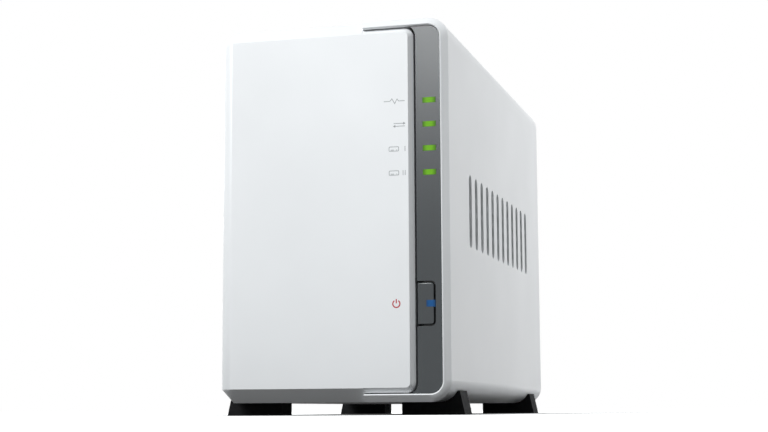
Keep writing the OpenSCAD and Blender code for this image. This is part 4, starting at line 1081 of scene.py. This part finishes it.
# each lamp's place, the point it looks at, its width and height, and its watts
LAMPS = {
    "key": ((-620, -1190, 1250), (0, 0, 80), 600, 600, 26.5),
    "low_front": ((-255, -1453, 550), (0, 0, 100), 300, 180, 3.2),
    "right": ((720, 380, 530), (52, 0, 100), 400, 400, 4.9),
    "back_left": ((-680, 640, 450), (0, 60, 80), 600, 600, 2.3),
}


def make_camera():
    """The camera stands low, in front and to the right, and looks up a little."""
    data = bpy.data.cameras.new("camera")
    data.lens = CAMERA_LENS
    data.sensor_width = 36
    data.clip_start = 0.01
    camera = bpy.data.objects.new("camera", data)
    bpy.context.scene.collection.objects.link(camera)
    turn = (
        Matrix.Rotation(CAMERA_YAW, 4, "Z")
        @ Matrix.Rotation(math.pi / 2 + CAMERA_PITCH, 4, "X")
        @ Matrix.Rotation(CAMERA_ROLL, 4, "Z")
    )
    camera.matrix_world = Matrix.Translation(Vector(CAMERA_AT) * MM) @ turn
    bpy.context.scene.camera = camera


def seen_rays(tree):
    """1 on camera, glossy and transmission rays, and 0 on the rays that light the object."""
    path = tree.nodes.new("ShaderNodeLightPath")
    seen = path.outputs["Is Camera Ray"]
    for kind in ("Is Glossy Ray", "Is Transmission Ray"):
        either = tree.nodes.new("ShaderNodeMath")
        either.operation = "MAXIMUM"
        tree.links.new(seen, either.inputs[0])
        tree.links.new(path.outputs[kind], either.inputs[1])
        seen = either.outputs[0]
    return seen


def make_world():
    """White where it is seen, and dim where it lights, so that the lamps shape the box."""
    world = bpy.data.worlds.new("studio")
    world.use_nodes = True
    tree = world.node_tree
    background = tree.nodes["Background"]
    background.inputs["Color"].default_value = (1, 1, 1, 1)
    level = tree.nodes.new("ShaderNodeMapRange")
    level.inputs["To Min"].default_value = WORLD_LIGHT
    level.inputs["To Max"].default_value = 1.0
    tree.links.new(seen_rays(tree), level.inputs["Value"])
    tree.links.new(level.outputs["Result"], background.inputs["Strength"])
    bpy.context.scene.world = world


def make_floor():
    """A pale floor, white where it is seen apart from the box's shadow and a painted contact shadow round
    its footprint.

    What it bounces back is dark close to the box and pale further away, so that the walls darken
    towards their foot.
    """
    size = FLOOR_WIDTH / 2 * MM
    mesh = bpy.data.meshes.new("floor")
    mesh.from_pydata([(u, v, 0) for u, v in box_outline(-size, size, -size, size)], [], [(0, 1, 2, 3)])
    floor = bpy.data.objects.new("floor", mesh)
    bpy.context.scene.collection.objects.link(floor)
    finish = Finish("floor", (1, 1, 1), 1)
    finish.tree.nodes.clear()
    # the distance from the box's footprint
    x, y = cad_box[1].x, cad_box[1].y
    folded = finish.node("ShaderNodeVectorMath")
    folded.operation = "ABSOLUTE"
    finish.link(finish.place(), folded.inputs[0])
    for operation, corner in (("SUBTRACT", (x, y, 0)), ("MAXIMUM", (0, 0, 0)), ("LENGTH", None)):
        step = finish.node("ShaderNodeVectorMath")
        step.operation = operation
        finish.link(folded.outputs[0], step.inputs[0])
        if corner:
            step.inputs[1].default_value = corner
        folded = step
    away = folded.outputs["Value"]
    pale = finish.node("ShaderNodeBsdfDiffuse")
    # a painted contact shadow: the floor's colour darkens in a soft line where the box stands
    finish.link(finish.ramp(away, *PAINTED_SHADOW_REACH, 0.3, 0.95), pale.inputs["Color"])
    lift = finish.node("ShaderNodeEmission", Color=(1, 1, 1, 1))
    finish.link(finish.ramp(away, *LIFT_REACH, FLOOR_LIFT, 1.0), lift.inputs["Strength"])
    seen = finish.node("ShaderNodeAddShader")
    finish.link(pale.outputs[0], seen.inputs[0])
    finish.link(lift.outputs[0], seen.inputs[1])
    bounce = finish.node("ShaderNodeBsdfDiffuse")
    finish.link(finish.ramp(away, *BOUNCE_REACH, 0.0, FLOOR_BOUNCE), bounce.inputs["Color"])
    choice = finish.node("ShaderNodeMixShader")
    finish.link(seen_rays(finish.tree), choice.inputs[0])
    finish.link(bounce.outputs[0], choice.inputs[1])
    finish.link(seen.outputs[0], choice.inputs[2])
    out = finish.node("ShaderNodeOutputMaterial")
    finish.link(choice.outputs[0], out.inputs["Surface"])
    mesh.materials.append(finish.made)


def make_light(name, at, aim, width, height, watts):
    """A rectangular lamp that looks at a point."""
    data = bpy.data.lights.new(name, "AREA")
    data.shape = "RECTANGLE"
    data.size = width * MM
    data.size_y = height * MM
    data.energy = watts
    data.color = LAMP_COLOUR
    light = bpy.data.objects.new(name, data)
    bpy.context.scene.collection.objects.link(light)
    light.location = Vector(at) * MM
    light.rotation_euler = (Vector(aim) - Vector(at)).to_track_quat("-Z", "Y").to_euler()


make_camera()
make_world()
make_floor()
for lamp, placing in LAMPS.items():
    make_light(lamp, *placing)
bpy.context.scene.view_settings.view_transform = "Standard"
